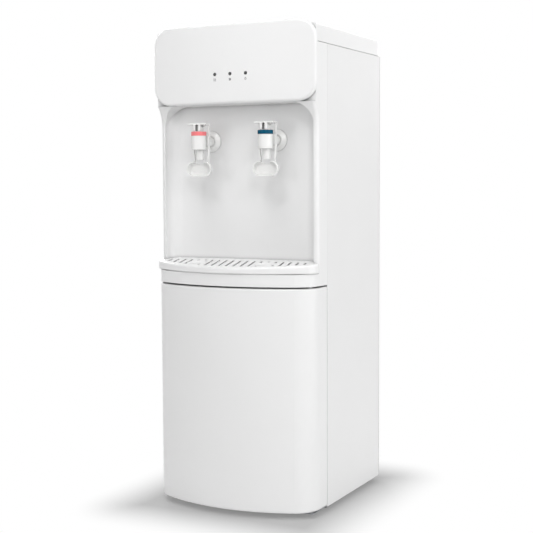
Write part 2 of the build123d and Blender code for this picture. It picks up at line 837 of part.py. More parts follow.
def paddle_form(inset, near, far, back_radius):
    half = paddle_half_width - inset
    low, high = barrel_z - paddle_bottom + inset, barrel_z - paddle_top - inset
    face = make_face(Polyline((-half, low), (half, low), (half, high), (-half, high), close=True))
    face = fillet(face.vertices(), paddle_corner_radius - inset)
    body = front_prism(face, near, far)
    back = body.faces().sort_by(Axis.Y)[-1]
    return fillet(back.edges(), back_radius)


def paddle_cup():
    near, far = -paddle_front, paddle_depth - paddle_front
    cup = paddle_form(0, near, far, paddle_back_radius)
    cup -= paddle_form(paddle_wall, near - overrun, far - paddle_wall, paddle_back_radius - paddle_wall)
    dip_z = barrel_z - paddle_top - paddle_dip_depth + paddle_dip_radius
    return cup - rod(paddle_dip_radius, (0, near - overrun, dip_z), paddle_depth + 2 * overrun, (0, 1, 0))


def at_tap(side, piece):
    return Pos(side * tap_pitch / 2, tap_y, 0) * piece


def both_taps(piece):
    return Compound(children=[at_tap(side, piece) for side in (-1, 1)])


def side_panel(side):
    # Folded sheet with a hem at the front and one at the rear.
    far = panel_rear - sheet
    x, inner = half_width, half_width - hem
    face = outline((inner, seam_y), (x, seam_y), (x, far), (inner, far), (inner, far - sheet),
                   (x - sheet, far - sheet), (x - sheet, seam_y + sheet), (inner, seam_y + sheet))
    outer = [v for v in face.vertices() if v.X > x - sheet / 2]
    face = fillet(outer, bend_radius)
    inner_corners = [v for v in face.vertices() if abs(v.X - x + sheet) < sheet / 4
                     and (v.Y < seam_y + 2 * sheet or v.Y > far - 2 * sheet)]
    face = fillet(inner_corners, bend_radius - sheet)
    body = prism(face, panel_bottom, panel_top)
    for place, z in screw_places:
        if place > 0:
            body -= rod(screw_radius + screw_fit, (place, far - overrun, z), 2 * overrun, (0, 1, 0))
    return body if side > 0 else mirror(body, about=Plane.YZ)


def back_panel():
    # Flat sheet over the rear hems, with louvre slots, screw holes and cut-outs.
    near = panel_rear - sheet
    through = (near - overrun, panel_rear + overrun)
    body = block((-half_width, half_width), (near, panel_rear), (panel_bottom, panel_top))
    upper_start = panel_top - upper_louvre_drop - louvre_count * louvre_pitch
    for start in (upper_start, panel_bottom + lower_louvre_rise):
        for row in range(louvre_count):
            z = start + row * louvre_pitch
            for column in range(louvre_columns):
                x = (column - (louvre_columns - 1) / 2) * (louvre_width + louvre_gap) - louvre_width / 2
                body -= block((x, x + louvre_width), through, (z, z + louvre_height))
    for x, z in screw_places:
        body -= rod(screw_radius + screw_fit, (x, near - overrun, z), 2 * overrun, (0, 1, 0))
    x0, z0 = switch_centre()
    half_x, half_z = switch_pitch / 2 + switch_width / 2 + seat_gap, switch_height / 2 + seat_gap
    body -= block((x0 - half_x, x0 + half_x), through, (z0 - half_z, z0 + half_z))
    x0, z0 = inlet_centre()
    half_x, half_z = inlet_width / 2 + seat_gap, inlet_height / 2 + seat_gap
    body -= block((x0 - half_x, x0 + half_x), through, (z0 - half_z, z0 + half_z))
    drain = (-hot_offset, near - overrun, drain_z())
    body -= rod(drain_pipe_radius + hose_fit, drain, 2 * overrun, (0, 1, 0))
    for x, z in pipe_exits():
        body -= rod(pipe_radius + pipe_fit, (x, near - overrun, z), 2 * overrun, (0, 1, 0))
    return body


def panel_screws():
    heads = []
    for x, z in screw_places:
        head = rod(screw_head_radius, (x, panel_rear, z), screw_head_height, (0, 1, 0))
        head += rod(screw_radius, (x, panel_rear, z), screw_length, (0, -1, 0))
        heads.append(head)
    return Compound(children=heads)


def switch_centre():
    return half_width - switch_inset, panel_top - switch_drop


def inlet_centre():
    return inlet_inset - half_width, panel_bottom + inlet_rise


def drain_z():
    return condenser_low - drain_drop


def pipe_exits():
    # Where the condenser's two tails pass through the back panel: inlet high, outlet low.
    x = condenser_width / 2 - condenser_pitch / 2
    return [(x, condenser_low), (x, condenser_high)]


def cover_block(inset, low):
    # Flat top with a large round along the rear edge and round rear corners.
    near, far = seam_y - cover_front_reach + inset, panel_rear + cover_overhang - inset
    top, radius = cover_top - inset, cover_rear_radius - inset
    start = far - sqrt(radius ** 2 - (radius - (cover_rise - cover_gap) * 3 / 5) ** 2)
    fall = (cover_rise - cover_gap) * 3 / 5
    middle = asin((far - start) / radius) / 2
    edges = Polyline((far, top - fall), (far, low), (near, low), (near, top), (start, top))
    edges += ThreePointArc((start, top), (start + radius * sin(middle), top - radius * (1 - cos(middle))),
                           (far, top - fall))
    half = half_width - inset
    plan = make_face(Polyline((-half, near), (half, near), (half, far), (-half, far), close=True))
    plan = fillet(plan.vertices().sort_by(Axis.Y)[-2:], cover_plan_radius - inset)
    return side_prism(make_face(edges), -half, half) & prism(plan, low, top)


def top_cover():
    # Shell with round edges along both sides of its top and a hole for the bottle seat.
    face = outline((-half_width, cover_bottom), (half_width, cover_bottom), (half_width, cover_top),
                   (-half_width, cover_top))
    face = fillet(face.vertices().sort_by(Axis.Y)[-2:], cover_edge_radius)
    body = cover_block(0, cover_bottom) & front_prism(face, seam_y - cover_front_reach - overrun,
                                                      panel_rear + cover_overhang + overrun)
    body -= cover_block(wall, cover_bottom - overrun)
    mouth = rod(mouth_radius + seat_hole_fit, (0, bottle_y, cover_bottom), cover_rise + overrun, (0, 0, 1))
    return body - mouth


def bottle_seat():
    # Flanged funnel that the bottle's shoulder stands in.
    top, bottom = cover_top, cover_top - seat_depth
    rim, rim_top, shoulder = mouth_radius + seat_flange, top + seat_flange_height, top - seat_wall_depth
    knee, throat = mouth_radius - mouth_taper, spike_radius + seat_gap
    face = outline((mouth_radius, top - seat_wall_depth / 2), (mouth_radius, top), (rim, top), (rim, rim_top),
                   (mouth_radius - wall, rim_top), (knee - wall, shoulder + wall),
                   (seat_throat_radius, bottom + wall), (throat, bottom + wall), (throat, bottom),
                   (seat_throat_radius + wall / 2, bottom), (knee, shoulder - wall / 4))
    return Pos(0, bottle_y, 0) * turned(face)


def feed_spike():
    # Hollow spike with a domed tip and side holes; its tail goes into the tank's lid.
    seat = cover_top - seat_depth + wall
    tip = seat + spike_height
    body = rod(spike_radius, (0, 0, seat - spike_tail), spike_height + spike_tail, (0, 0, 1))
    body = fillet(body.edges().sort_by(Axis.Z)[-1], spike_radius / 2)
    body += rod(spike_flange_radius, (0, 0, seat + seat_gap), spike_flange_height, (0, 0, 1))
    body -= rod(spike_bore, (0, 0, seat - spike_tail), spike_tail + spike_height - wall * 2, (0, 0, 1))
    for direction in ((1, 0, 0), (0, 1, 0)):
        start = [-value * spike_radius * 2 for value in direction]
        start[2] = tip - spike_hole_drop
        body -= rod(spike_hole_radius, tuple(start), spike_radius * 4, direction)
    return Pos(0, bottle_y, 0) * body


def cold_tank_bottom():
    return upper_deck + base_sheet + foam_floor + seat_gap


def cold_tank_top():
    return cover_top - seat_depth - seat_gap


def cold_tank():
    low, high = cold_tank_bottom(), cold_tank_top()
    can = rod(cold_radius, (0, 0, low), high - low, (0, 0, 1))
    can -= rod(cold_radius - cold_wall, (0, 0, low + cold_wall), high - low - 2 * cold_wall, (0, 0, 1))
    can -= rod(spike_radius + seat_gap, (0, 0, high - overrun), 2 * overrun, (0, 0, 1))
    return Pos(0, bottle_y, 0) * can


def cold_baffle():
    # Disc and tube that lead warm water past the cold water to the hot tank.
    low = cold_tank_bottom() + cold_wall
    z = low + (cold_tank_top() - low) * baffle_rise_share
    disc = rod(cold_radius - cold_wall - baffle_fit, (0, 0, z), baffle_thickness, (0, 0, 1))
    tube = rod(baffle_bore, (0, 0, low), z - low + baffle_thickness, (0, 0, 1))
    bore = rod(baffle_bore - baffle_thickness, (0, 0, low), z - low + 2 * baffle_thickness, (0, 0, 1))
    return Pos(0, bottle_y, 0) * (disc + tube - bore)


def evaporator_coil():
    # The outer form of the flat-wound coil round the tank.
    low = cold_tank_bottom() + coil_rise
    outer = rod(cold_radius + coil_thickness, (0, 0, low), coil_height, (0, 0, 1))
    return Pos(0, bottle_y, 0) * (outer - rod(cold_radius + press_fit, (0, 0, low), coil_height, (0, 0, 1)))


def cold_insulation():
    # Foam jacket on the upper shelf, with a floor under the tank and a passage for each hose.
    low = upper_deck + base_sheet
    high = cold_tank_top() - cold_wall
    foam = rod(cold_jacket_radius, (0, 0, low), high - low, (0, 0, 1))
    foam -= rod(cold_radius + coil_thickness + seat_gap, (0, 0, low + foam_floor), high - low, (0, 0, 1))
    foam = Pos(0, bottle_y, 0) * foam
    foam -= rod(hose_radius + hose_fit, (tap_pitch / 2, seam_y, barrel_z), bottle_centre, (0, 1, 0))
    feed = (feed_x(), bottle_y, low - overrun)
    return foam - rod(hose_radius + hose_fit, feed, foam_floor + 2 * overrun, (0, 0, 1))


def feed_x():
    return hot_jacket_radius - hot_offset + feed_gap


def tap_tail_y():
    return alcove_wall_y(tap_pitch / 2) + wall + tail_past_wall


def cold_outlet_hose():
    # Straight from the cold tap's tail to the tank's side.
    x, start = tap_pitch / 2, tap_tail_y() + seat_gap
    side = bottle_y - sqrt((cold_radius + seat_gap) ** 2 - (x - hose_radius) ** 2)
    return rod(hose_radius, (x, start, barrel_z), side - start - seat_gap, (0, 1, 0))


def hot_tank_bottom():
    return lower_deck + base_sheet + foam_floor + seat_gap


def hot_outlet_hose():
    # From the hot tank's lid up behind the wall to the hot tap's tail.
    x, start, turn = -tap_pitch / 2, hot_tank_bottom() + hot_height, upper_deck - hose_radius * 2
    riser = tap_tail_y() + hose_bend + seat_gap
    points = [(x, bottle_y, start + seat_gap), (x, bottle_y, turn), (x, riser, turn), (x, riser, barrel_z),
              (x, tap_tail_y() + seat_gap, barrel_z)]
    return pipe(points, hose_radius, hose_bend - seat_gap)


def hot_feed_hose():
    # From the cold tank's floor down to the foot of the hot tank.
    z = hot_tank_bottom() + hose_radius * 3
    points = [(feed_x(), bottle_y, cold_tank_bottom() - seat_gap), (feed_x(), bottle_y, z),
              (-hot_offset + hot_radius + seat_gap, bottle_y, z)]
    return pipe(points, hose_radius, hose_bend)


def hot_tank():
    low = hot_tank_bottom()
    can = rod(hot_radius, (0, 0, low), hot_height, (0, 0, 1))
    can -= rod(hot_radius - hot_wall, (0, 0, low + hot_wall), hot_height - 2 * hot_wall, (0, 0, 1))
    return Pos(-hot_offset, bottle_y, 0) * can


def band_heater():
    low = hot_tank_bottom() + heater_rise
    ring = rod(hot_radius + heater_thickness, (0, 0, low), heater_height, (0, 0, 1))
    ring -= rod(hot_radius + press_fit, (0, 0, low), heater_height, (0, 0, 1))
    return Pos(-hot_offset, bottle_y, 0) * ring


def hot_insulation():
    low = lower_deck + base_sheet
    high = hot_tank_bottom() + hot_height
    foam = rod(hot_jacket_radius, (0, 0, low), high - low, (0, 0, 1))
    foam -= rod(hot_radius + heater_thickness + seat_gap, (0, 0, low + foam_floor), high - low, (0, 0, 1))
    foam = Pos(-hot_offset, bottle_y, 0) * foam
    z = hot_tank_bottom() + hose_radius * 3
    foam -= rod(hose_radius + hose_fit, (-hot_offset, bottle_y, z), hot_jacket_radius + overrun, (1, 0, 0))
    drain = (-hot_offset, drain_y(), low - overrun)
    return foam - rod(drain_pipe_radius + hose_fit, drain, foam_floor + 2 * overrun, (0, 0, 1))


def thermostats():
    # Two snap discs on the hot tank's lid.
    z = hot_tank_bottom() + hot_height + seat_gap
    return Compound(children=[
        rod(thermostat_radius, (-hot_offset + hot_radius / 2, bottle_y + side * hot_radius / 2, z),
            thermostat_height, (0, 0, 1)) for side in (-1, 1)])


def drain_y():
    return bottle_y + hot_radius / 2


def drain_hose():
    # From the hot tank's floor down and out through the back panel.
    points = [(-hot_offset, drain_y(), hot_tank_bottom() - seat_gap), (-hot_offset, drain_y(), drain_z()),
              (-hot_offset, panel_rear + drain_past_panel, drain_z())]
    return pipe(points, drain_pipe_radius, hose_bend * 2)


def drain_cap():
    # Ribbed cap over the end of the drain hose.
    start = panel_rear + drain_past_panel - drain_cap_height / 2
    cap = rod(drain_cap_radius, (0, 0, 0), drain_cap_height, (0, 0, 1))
    bore_length = overrun + drain_cap_height / 2 + seat_gap
    cap -= rod(drain_pipe_radius + tail_fit, (0, 0, -overrun), bore_length, (0, 0, 1))
    return Pos(-hot_offset, start, drain_z()) * Rot(-90, 0, 0) * cap


def deck(z):
    # Shelf between the side panels, with a lip folded down at each side.
    near, far = seam_y + sheet + seat_gap, panel_rear - 2 * sheet - seat_gap
    body = block((-inner_half, inner_half), (near, far), (z, z + base_sheet))
    for side in (-1, 1):
        x = sorted((side * inner_half, side * (inner_half - base_sheet)))
        body += block(x, (near, far), (z - deck_lip, z + base_sheet))
    return body


def tank_shelves():
    # Upper shelf under the cold tank and lower shelf under the hot one, with holes for the hoses.
    upper, lower = deck(upper_deck), deck(lower_deck)
    riser = tap_tail_y() + hose_bend + seat_gap
    discharge = (pipe_exits()[0][0], compressor_axis()[1])
    for place in ((-tap_pitch / 2, riser), (feed_x(), bottle_y)):
        upper -= rod(hose_radius + hose_fit, (*place, upper_deck - overrun), 2 * overrun, (0, 0, 1))
    upper -= rod(pipe_radius + pipe_fit, (*discharge, upper_deck - overrun), 2 * overrun, (0, 0, 1))
    lower -= rod(pipe_radius + pipe_fit, (*discharge, lower_deck - overrun), 2 * overrun, (0, 0, 1))
    drain = (-hot_offset, drain_y(), lower_deck - overrun)
    lower -= rod(drain_pipe_radius + hose_fit, drain, 2 * overrun, (0, 0, 1))
    return Compound(children=[upper, lower])


def base_pan():
    # Folded pan, with a tongue at the front that carries the lower hinge pin.
    low, high = foot_height, foot_height + base_rim
    near, far = seam_y + sheet, panel_rear - 2 * sheet
    body = block((-inner_half, inner_half), (near, far), (low, high))
    body -= block((-inner_half + base_sheet, inner_half - base_sheet),
                  (near + base_sheet, far - base_sheet), (low + base_sheet, high + overrun))
    return body + block((hinge_x - tongue_margin, hinge_x + tongue_margin),
                        (hinge_y - tongue_margin, near + overrun), (low, low + base_sheet))


def feet():
    places = [(side * (half_width - foot_inset), y) for side in (-1, 1)
              for y in (seam_y + foot_inset, panel_rear - foot_inset)]
    pads = []
    for x, y in places:
        pad = rod(foot_radius, (x, y, 0), foot_height, (0, 0, 1))
        pads.append(fillet(pad.edges().sort_by(Axis.Z)[0], foot_height / 4))
    return Compound(children=pads)


def cabinet_liner():
    # Storage compartment: a flanged box, open at the front.
    near, far = seam_y + sheet, compressor_axis()[1] - compressor_radius - liner_clearance
    low, high = foot_height + base_rim + liner_base_gap, band_bottom - seat_gap
    inner_low, inner_high = low + liner_frame, high - liner_frame
    half = inner_half - liner_frame
    body = block((-inner_half, inner_half), (near, near + liner_flange), (low, high))
    body += block((-half - liner_wall, half + liner_wall), (near, far),
                  (inner_low - liner_wall, inner_high + liner_wall))
    return body - block((-half, half), (near - overrun, far - liner_wall), (inner_low, inner_high))


def door_magnets():
    # Magnet in a holder on the liner's flange, facing the door's free end.
    z = magnet_height_z() - magnet_height / 2
    x = -half_width + hem + seat_gap
    near = seam_y - door_seam_gap + strike_thickness + catch_gap
    return block((x, x + magnet_width), (near, seam_y + sheet), (z, z + magnet_height))


def switch_housing():
    # One bezel with two windows; the wells behind hold the rockers' pivots.
    x0, z0 = switch_centre()
    half_x, half_z = switch_pitch / 2 + switch_width / 2, switch_height / 2
    far = panel_rear + switch_flange_thickness
    body = block((x0 - half_x, x0 + half_x), (panel_rear - switch_depth, far), (z0 - half_z, z0 + half_z))
    body += block((x0 - half_x - switch_flange, x0 + half_x + switch_flange), (panel_rear, far),
                  (z0 - half_z - switch_flange, z0 + half_z + switch_flange))
    for side in (-1, 1):
        x = x0 + side * switch_pitch / 2
        half = rocker_half_width() + rocker_fit
        body -= block((x - half, x + half), (panel_rear - switch_depth + wall, far + overrun),
                      (z0 - half_z + wall, z0 + half_z - wall))
        reach = half + rocker_pin_length
        start = (x - reach, far - rocker_pivot_depth, z0)
        body -= rod(rocker_pin_radius + rocker_pin_fit, start, 2 * reach, (1, 0, 0))
    return body


def rocker_half_width():
    return switch_width / 2 - wall - rocker_fit


def rocker(side):
    # Dished rocker with a pivot pin at each side.
    x0, z0 = switch_centre()
    far = panel_rear + switch_flange_thickness
    half, tall = rocker_half_width(), switch_height / 2 - wall - rocker_fit * 2
    deep, edge, crest = far - rocker_pivot_depth - rocker_rise, far + rocker_rise / 2, far + rocker_rise
    face = outline((deep, z0 - tall * 2 / 3), (edge, z0 - tall), (crest, z0 - tall * 4 / 5), (far, z0),
                   (crest, z0 + tall * 4 / 5), (edge, z0 + tall), (deep, z0 + tall * 2 / 3))
    x = x0 + side * switch_pitch / 2
    body = side_prism(face, x - half, x + half)
    reach = half + rocker_fit + rocker_pin_length - seat_gap
    return body + rod(rocker_pin_radius, (x - reach, far - rocker_pivot_depth, z0), 2 * reach, (1, 0, 0))


def power_inlet():
    # Three-blade appliance inlet, flanged on the back panel.
    x, z = inlet_centre()
    far = panel_rear + inlet_flange_thickness
    half_x, half_z = inlet_width / 2, inlet_height / 2
    body = block((x - half_x, x + half_x), (panel_rear - inlet_depth, far), (z - half_z, z + half_z))
    flange_x, flange_z = half_x + inlet_flange, half_z + inlet_flange / 2
    body += block((x - flange_x, x + flange_x), (panel_rear, far), (z - flange_z, z + flange_z))
    floor = far - inlet_recess_depth
    body -= block((x - inlet_recess_width / 2, x + inlet_recess_width / 2), (floor, far + overrun),
                  (z - inlet_recess_height / 2, z + inlet_recess_height / 2))
    for place, lift in ((-1, 0), (0, inlet_blade_height / 2), (1, 0)):
        blade = Pos(x + place * inlet_blade_pitch, floor + inlet_blade_length / 2, z + lift)
        body += blade * Box(inlet_blade_width, inlet_blade_length, inlet_blade_height)
    return body


def compressor_axis():
    return compressor_offset, panel_rear - compressor_clearance - compressor_plate_depth / 2 - sheet


def compressor_base():
    return foot_height + base_sheet + mount_height


def compressor():
    # Welded shell with a round top and foot on a mounting plate.
    x, y = compressor_axis()
    plate = compressor_base()
    shell = rod(compressor_radius, (x, y, plate + compressor_plate), compressor_height, (0, 0, 1))
    shell = fillet(shell.edges().sort_by(Axis.Z)[-1], compressor_dome)
    shell = fillet(shell.edges().sort_by(Axis.Z)[0], compressor_dome / 2)
    half_x, half_y = compressor_plate_side / 2, compressor_plate_depth / 2
    shell += block((x - half_x, x + half_x), (y - half_y, y + half_y), (plate, plate + compressor_plate))
    for place in mount_places():
        shell -= rod(mount_stud_radius + seat_gap, (*place, plate - overrun), 2 * overrun, (0, 0, 1))
    return shell


def mount_places():
    x, y = compressor_axis()
    half_x, half_y = compressor_plate_side / 2 - mount_inset, compressor_plate_depth / 2 - mount_inset
    return [(x + i * half_x, y + j * half_y) for i in (-1, 1) for j in (-1, 1)]


def compressor_mounts():
    # Rubber bushes with a stud through the plate.
    mounts = []
    for x, y in mount_places():
        start = (x, y, foot_height + base_sheet)
        bush = rod(mount_radius, start, mount_height - seat_gap, (0, 0, 1))
        stud = rod(mount_stud_radius, start, mount_height + compressor_plate * 2, (0, 0, 1))
        mounts.append(bush + stud)
    return Compound(children=mounts)


def condenser_y():
    return panel_rear + condenser_reach - condenser_wire - condenser_tube_radius


def condenser():
    # Serpentine tube with upright wires on both sides.
    y, radius = condenser_y(), condenser_pitch / 2
    half = condenser_width / 2 - radius
    path, side = [], 1
    for number in range(condenser_passes):
        z = condenser_low + number * condenser_pitch
        path.append(Line((side * half, y, z), (-side * half, y, z)))
        side = -side
        if number < condenser_passes - 1:
            path.append(ThreePointArc((side * half, y, z), (side * (half + radius), y, z + radius),
                                      (side * half, y, z + condenser_pitch)))
    start = Plane(origin=(half, y, condenser_low), z_dir=(-1, 0, 0))
    tube = sweep(start * Circle(condenser_tube_radius), path=Wire([edge.edge() for edge in path]))
    pieces = [tube]
    span = 2 * (half - condenser_wire_margin)
    wire = Box(condenser_wire, condenser_wire, condenser_high - condenser_low + 2 * condenser_wire_margin)
    for number in range(condenser_wire_count):
        x = -span / 2 + number * span / (condenser_wire_count - 1)
        for side in (-1, 1):
            wire_y = y + side * (condenser_tube_radius + condenser_wire / 2)
            pieces.append(Pos(x, wire_y, (condenser_low + condenser_high) / 2) * wire)
    return Compound(children=pieces)


def condenser_brackets():
    # Four folded clips from the back panel out to the condenser's wires.
    far = condenser_y() - condenser_tube_radius - condenser_wire - seat_gap
    low, high = condenser_low + condenser_pitch / 2, condenser_high - condenser_pitch / 2
    x = condenser_width / 2 - condenser_pitch / 2 - condenser_wire_margin - bracket_width
    clips = []
    for side in (-1, 1):
        for z in (low, high):
            left = side * x - bracket_width / 2
            clip = block((left, left + bracket_width), (panel_rear, far), (z, z + bracket_height))
            clip -= block((left - overrun, left + bracket_width + overrun),
                          (panel_rear + bracket_sheet, far - bracket_sheet),
                          (z + bracket_sheet, z + bracket_height + overrun))
            clips.append(clip)
    return Compound(children=clips)


def drier_place():
    # Axis and top of the drier, which stands beside the compressor.
    x, y = compressor_axis()
    top = compressor_base() + compressor_height / 2 + drier_length
    return x - compressor_radius - drier_radius * 2, panel_rear - sheet - drier_radius * 2, top


def refrigerant_line():
    # Discharge pipe from the shell up to the condenser's top, and the drier with the pipe from its foot.
    x, y = compressor_axis()
    (exit_x, exit_low), (_, exit_high) = pipe_exits()
    tail = condenser_y() - condenser_tube_radius - seat_gap
    drier_x, drier_y, drier_top = drier_place()
    shoulder = (drier_x, drier_y, drier_top - drier_neck)
    body = rod(drier_radius, shoulder, drier_length - 2 * drier_neck, (0, 0, -1))
    body += rod(pipe_radius + seat_gap, (drier_x, drier_y, drier_top), drier_length, (0, 0, -1))
    liquid = pipe([(drier_x, drier_y, drier_top + seat_gap), (drier_x, drier_y, exit_low),
                   (exit_x, drier_y, exit_low), (exit_x, tail, exit_low)], pipe_radius, pipe_bend)
    shell_top = compressor_base() + compressor_plate + compressor_height
    turn = shell_top + 2 * pipe_bend
    discharge = pipe([(x, y, shell_top + seat_gap), (x, y, turn), (exit_x, y, turn), (exit_x, y, exit_high),
                      (exit_x, tail, exit_high)], pipe_radius, pipe_bend)
    return Compound(children=[discharge, body, liquid])


nodes = {
    "front_frame": front_frame,
    "head_plate": head_plate,
    "lamp_lenses": lamp_lenses,
    "lamp_board": lamp_board,
    "door_skin": door_skin,
    "door_inner_panel": door_inner_panel,
    "door_strike_plates": door_strike_plates,
    "door_hinge_pins": door_hinge_pins,
    "door_magnets": door_magnets,
    "drip_grille": drip_grille,
    "drip_tray": drip_tray,
    "hot_tap_body": lambda: at_tap(-1, water_tap_body()),
    "cold_tap_body": lambda: at_tap(1, water_tap_body()),
    "tap_flanges": lambda: both_taps(tap_flange()),
    "tap_nuts": lambda: both_taps(tap_nut()),
    "tap_caps": lambda: both_taps(tap_cap()),
    "tap_springs": lambda: both_taps(tap_spring()),
    "hot_tap_ring": lambda: at_tap(-1, tap_ring()),
    "cold_tap_ring": lambda: at_tap(1, tap_ring()),
    "hot_stem": lambda: at_tap(-1, tap_stem()),
    "cold_stem": lambda: at_tap(1, tap_stem()),
    "hot_seal": lambda: at_tap(-1, tap_seal()),
    "cold_seal": lambda: at_tap(1, tap_seal()),
    "hot_lever_pin": lambda: at_tap(-1, tap_lever_pin()),
    "cold_lever_pin": lambda: at_tap(1, tap_lever_pin()),
    "hot_lever": lambda: at_tap(-1, tap_lever()),
    "cold_lever": lambda: at_tap(1, tap_lever()),
    "side_panel_left": lambda: side_panel(-1),
    "side_panel_right": lambda: side_panel(1),
    "back_panel": back_panel,
    "panel_screws": panel_screws,
    "top_cover": top_cover,
    "bottle_seat": bottle_seat,
    "feed_spike": feed_spike,
    "cold_tank": cold_tank,
    "cold_baffle": cold_baffle,
    "evaporator_coil": evaporator_coil,
    "cold_insulation": cold_insulation,
    "cold_outlet_hose": cold_outlet_hose,
    "hot_outlet_hose": hot_outlet_hose,
    "hot_feed_hose": hot_feed_hose,
    "hot_tank": hot_tank,
    "band_heater": band_heater,
    "hot_insulation": hot_insulation,
    "thermostats": thermostats,
    "drain_hose": drain_hose,
    "drain_cap": drain_cap,
    "tank_shelves": tank_shelves,
    "base_pan": base_pan,
    "feet": feet,
    "cabinet_liner": cabinet_liner,
    "switch_housing": switch_housing,
    "rocker_hot": lambda: rocker(-1),
    "rocker_cold": lambda: rocker(1),
    "power_inlet": power_inlet,
    "compressor": compressor,
    "compressor_mounts": compressor_mounts,
    "condenser": condenser,
    "condenser_brackets": condenser_brackets,
    "refrigerant_line": refrigerant_line,
}

os.makedirs("parts", exist_ok=True)
for name, make in nodes.items():
    print(name)
    export_step(make(), f"parts/{name}.step")
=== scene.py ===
import json
import math

import bmesh
import bpy
from mathutils import Matrix, Vector


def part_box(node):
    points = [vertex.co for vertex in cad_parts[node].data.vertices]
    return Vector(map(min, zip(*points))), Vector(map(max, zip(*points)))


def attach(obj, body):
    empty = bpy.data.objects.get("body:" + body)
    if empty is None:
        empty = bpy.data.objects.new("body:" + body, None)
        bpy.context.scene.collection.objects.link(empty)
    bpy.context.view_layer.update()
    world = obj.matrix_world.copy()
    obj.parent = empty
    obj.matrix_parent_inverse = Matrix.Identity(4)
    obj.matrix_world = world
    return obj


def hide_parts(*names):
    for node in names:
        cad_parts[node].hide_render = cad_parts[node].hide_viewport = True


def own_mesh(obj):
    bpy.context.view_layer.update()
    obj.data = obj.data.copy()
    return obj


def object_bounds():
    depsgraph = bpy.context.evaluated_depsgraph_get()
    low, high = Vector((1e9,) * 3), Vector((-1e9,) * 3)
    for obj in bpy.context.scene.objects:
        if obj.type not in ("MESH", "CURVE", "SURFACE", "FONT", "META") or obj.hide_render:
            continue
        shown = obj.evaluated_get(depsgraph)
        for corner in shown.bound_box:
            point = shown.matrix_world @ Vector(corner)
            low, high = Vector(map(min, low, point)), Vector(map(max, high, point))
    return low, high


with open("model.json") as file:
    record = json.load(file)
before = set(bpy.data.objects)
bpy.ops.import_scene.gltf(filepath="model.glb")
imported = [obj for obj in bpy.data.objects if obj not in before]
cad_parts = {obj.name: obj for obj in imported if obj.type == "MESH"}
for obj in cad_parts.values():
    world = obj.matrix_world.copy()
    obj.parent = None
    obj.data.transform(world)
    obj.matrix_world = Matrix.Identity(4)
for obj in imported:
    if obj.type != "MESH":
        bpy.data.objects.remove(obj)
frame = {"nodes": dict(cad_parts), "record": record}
nodes = frame["nodes"]
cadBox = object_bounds()
print("frame loaded:", len(nodes), "nodes")

mm = 0.001                       # lengths are in metres, unless a name says degrees or mm


# The camera stands at the right front corner, a little above the middle of the cabinet.
cameraView = {
    "place": (0.9554, -1.8534, 0.5741),
    "turnDegrees": 27.323,       # to the left of straight ahead
    "downDegrees": 4.269,
    "rollDegrees": -0.2826,
    "lensMm": 76.92,
    "sensorMm": 36.0,
    "nearest": 0.05,
    "farthest": 50.0,
}


def setCamera():
    data = bpy.data.cameras.new("camera")
    data.lens, data.sensor_width = cameraView["lensMm"], cameraView["sensorMm"]
    data.clip_start, data.clip_end = cameraView["nearest"], cameraView["farthest"]
    camera = bpy.data.objects.new("camera", data)
    bpy.context.scene.collection.objects.link(camera)
    turn, down, roll = (math.radians(cameraView[key])
                        for key in ("turnDegrees", "downDegrees", "rollDegrees"))
    ahead = Vector((-math.sin(turn) * math.cos(down), math.cos(turn) * math.cos(down),
                    -math.sin(down)))
    level = Vector((math.cos(turn), math.sin(turn), 0))
    upright = level.cross(ahead)
    right = math.cos(roll) * level + math.sin(roll) * upright
    up = -math.sin(roll) * level + math.cos(roll) * upright
    pose = Matrix((right, up, -ahead)).transposed().to_4x4()
    pose.translation = Vector(cameraView["place"])
    camera.matrix_world = pose
    bpy.context.scene.camera = camera


setCamera()
print("camera set")


# Node helpers
def addNode(tree, kind, **settings):
    node = tree.nodes.new(kind)
    for key, value in settings.items():
        setattr(node, key, value)
    return node


def plug(tree, socket, value):
    # An output socket is linked, and a number or colour is set.
    if isinstance(value, bpy.types.NodeSocket):
        tree.links.new(value, socket)
    else:
        socket.default_value = value


def feed(tree, node, **values):
    # Sockets by name, with the spaces left out.
    for key, value in values.items():
        socket = next(entry for entry in node.inputs
                      if entry.name.replace(" ", "") == key and entry.enabled)
        plug(tree, socket, value)
    return node


def calc(tree, operation, first, second=0.0):
    node = addNode(tree, "ShaderNodeMath", operation=operation)
    plug(tree, node.inputs[0], first)
    plug(tree, node.inputs[1], second)
    return node.outputs[0]


def calcVector(tree, operation, first, second=(0, 0, 0)):
    node = addNode(tree, "ShaderNodeVectorMath", operation=operation)
    plug(tree, node.inputs[0], first)
    plug(tree, node.inputs[1], second)
    return node.outputs["Value" if operation == "LENGTH" else "Vector"]


def mixColour(tree, factor, first, second, blend="MIX"):
    # Inputs 6 and 7 and output 2 are the node's colour sockets.
    node = addNode(tree, "ShaderNodeMix", data_type="RGBA", blend_type=blend)
    plug(tree, node.inputs[0], factor)
    plug(tree, node.inputs[6], first)
    plug(tree, node.inputs[7], second)
    return node.outputs[2]


def splitVector(tree, vector):
    parts = addNode(tree, "ShaderNodeSeparateXYZ")
    tree.links.new(vector, parts.inputs[0])
    return parts.outputs


def noise(tree, position, scale, detail):
    node = addNode(tree, "ShaderNodeTexNoise")
    feed(tree, node, Vector=position, Scale=scale, Detail=detail)
    return node.outputs["Fac"]


def objectPosition(tree):
    return addNode(tree, "ShaderNodeTexCoord").outputs["Object"]


def newGroup(name, inputs, outputs):
    tree = bpy.data.node_groups.new(name, "ShaderNodeTree")
    for label, kind, value in inputs:
        socket = tree.interface.new_socket(name=label, in_out="INPUT",
                                           socket_type="NodeSocket" + kind)
        socket.default_value = value
    for label, kind in outputs:
        tree.interface.new_socket(name=label, in_out="OUTPUT", socket_type="NodeSocket" + kind)
    return tree, addNode(tree, "NodeGroupInput").outputs, addNode(tree, "NodeGroupOutput")


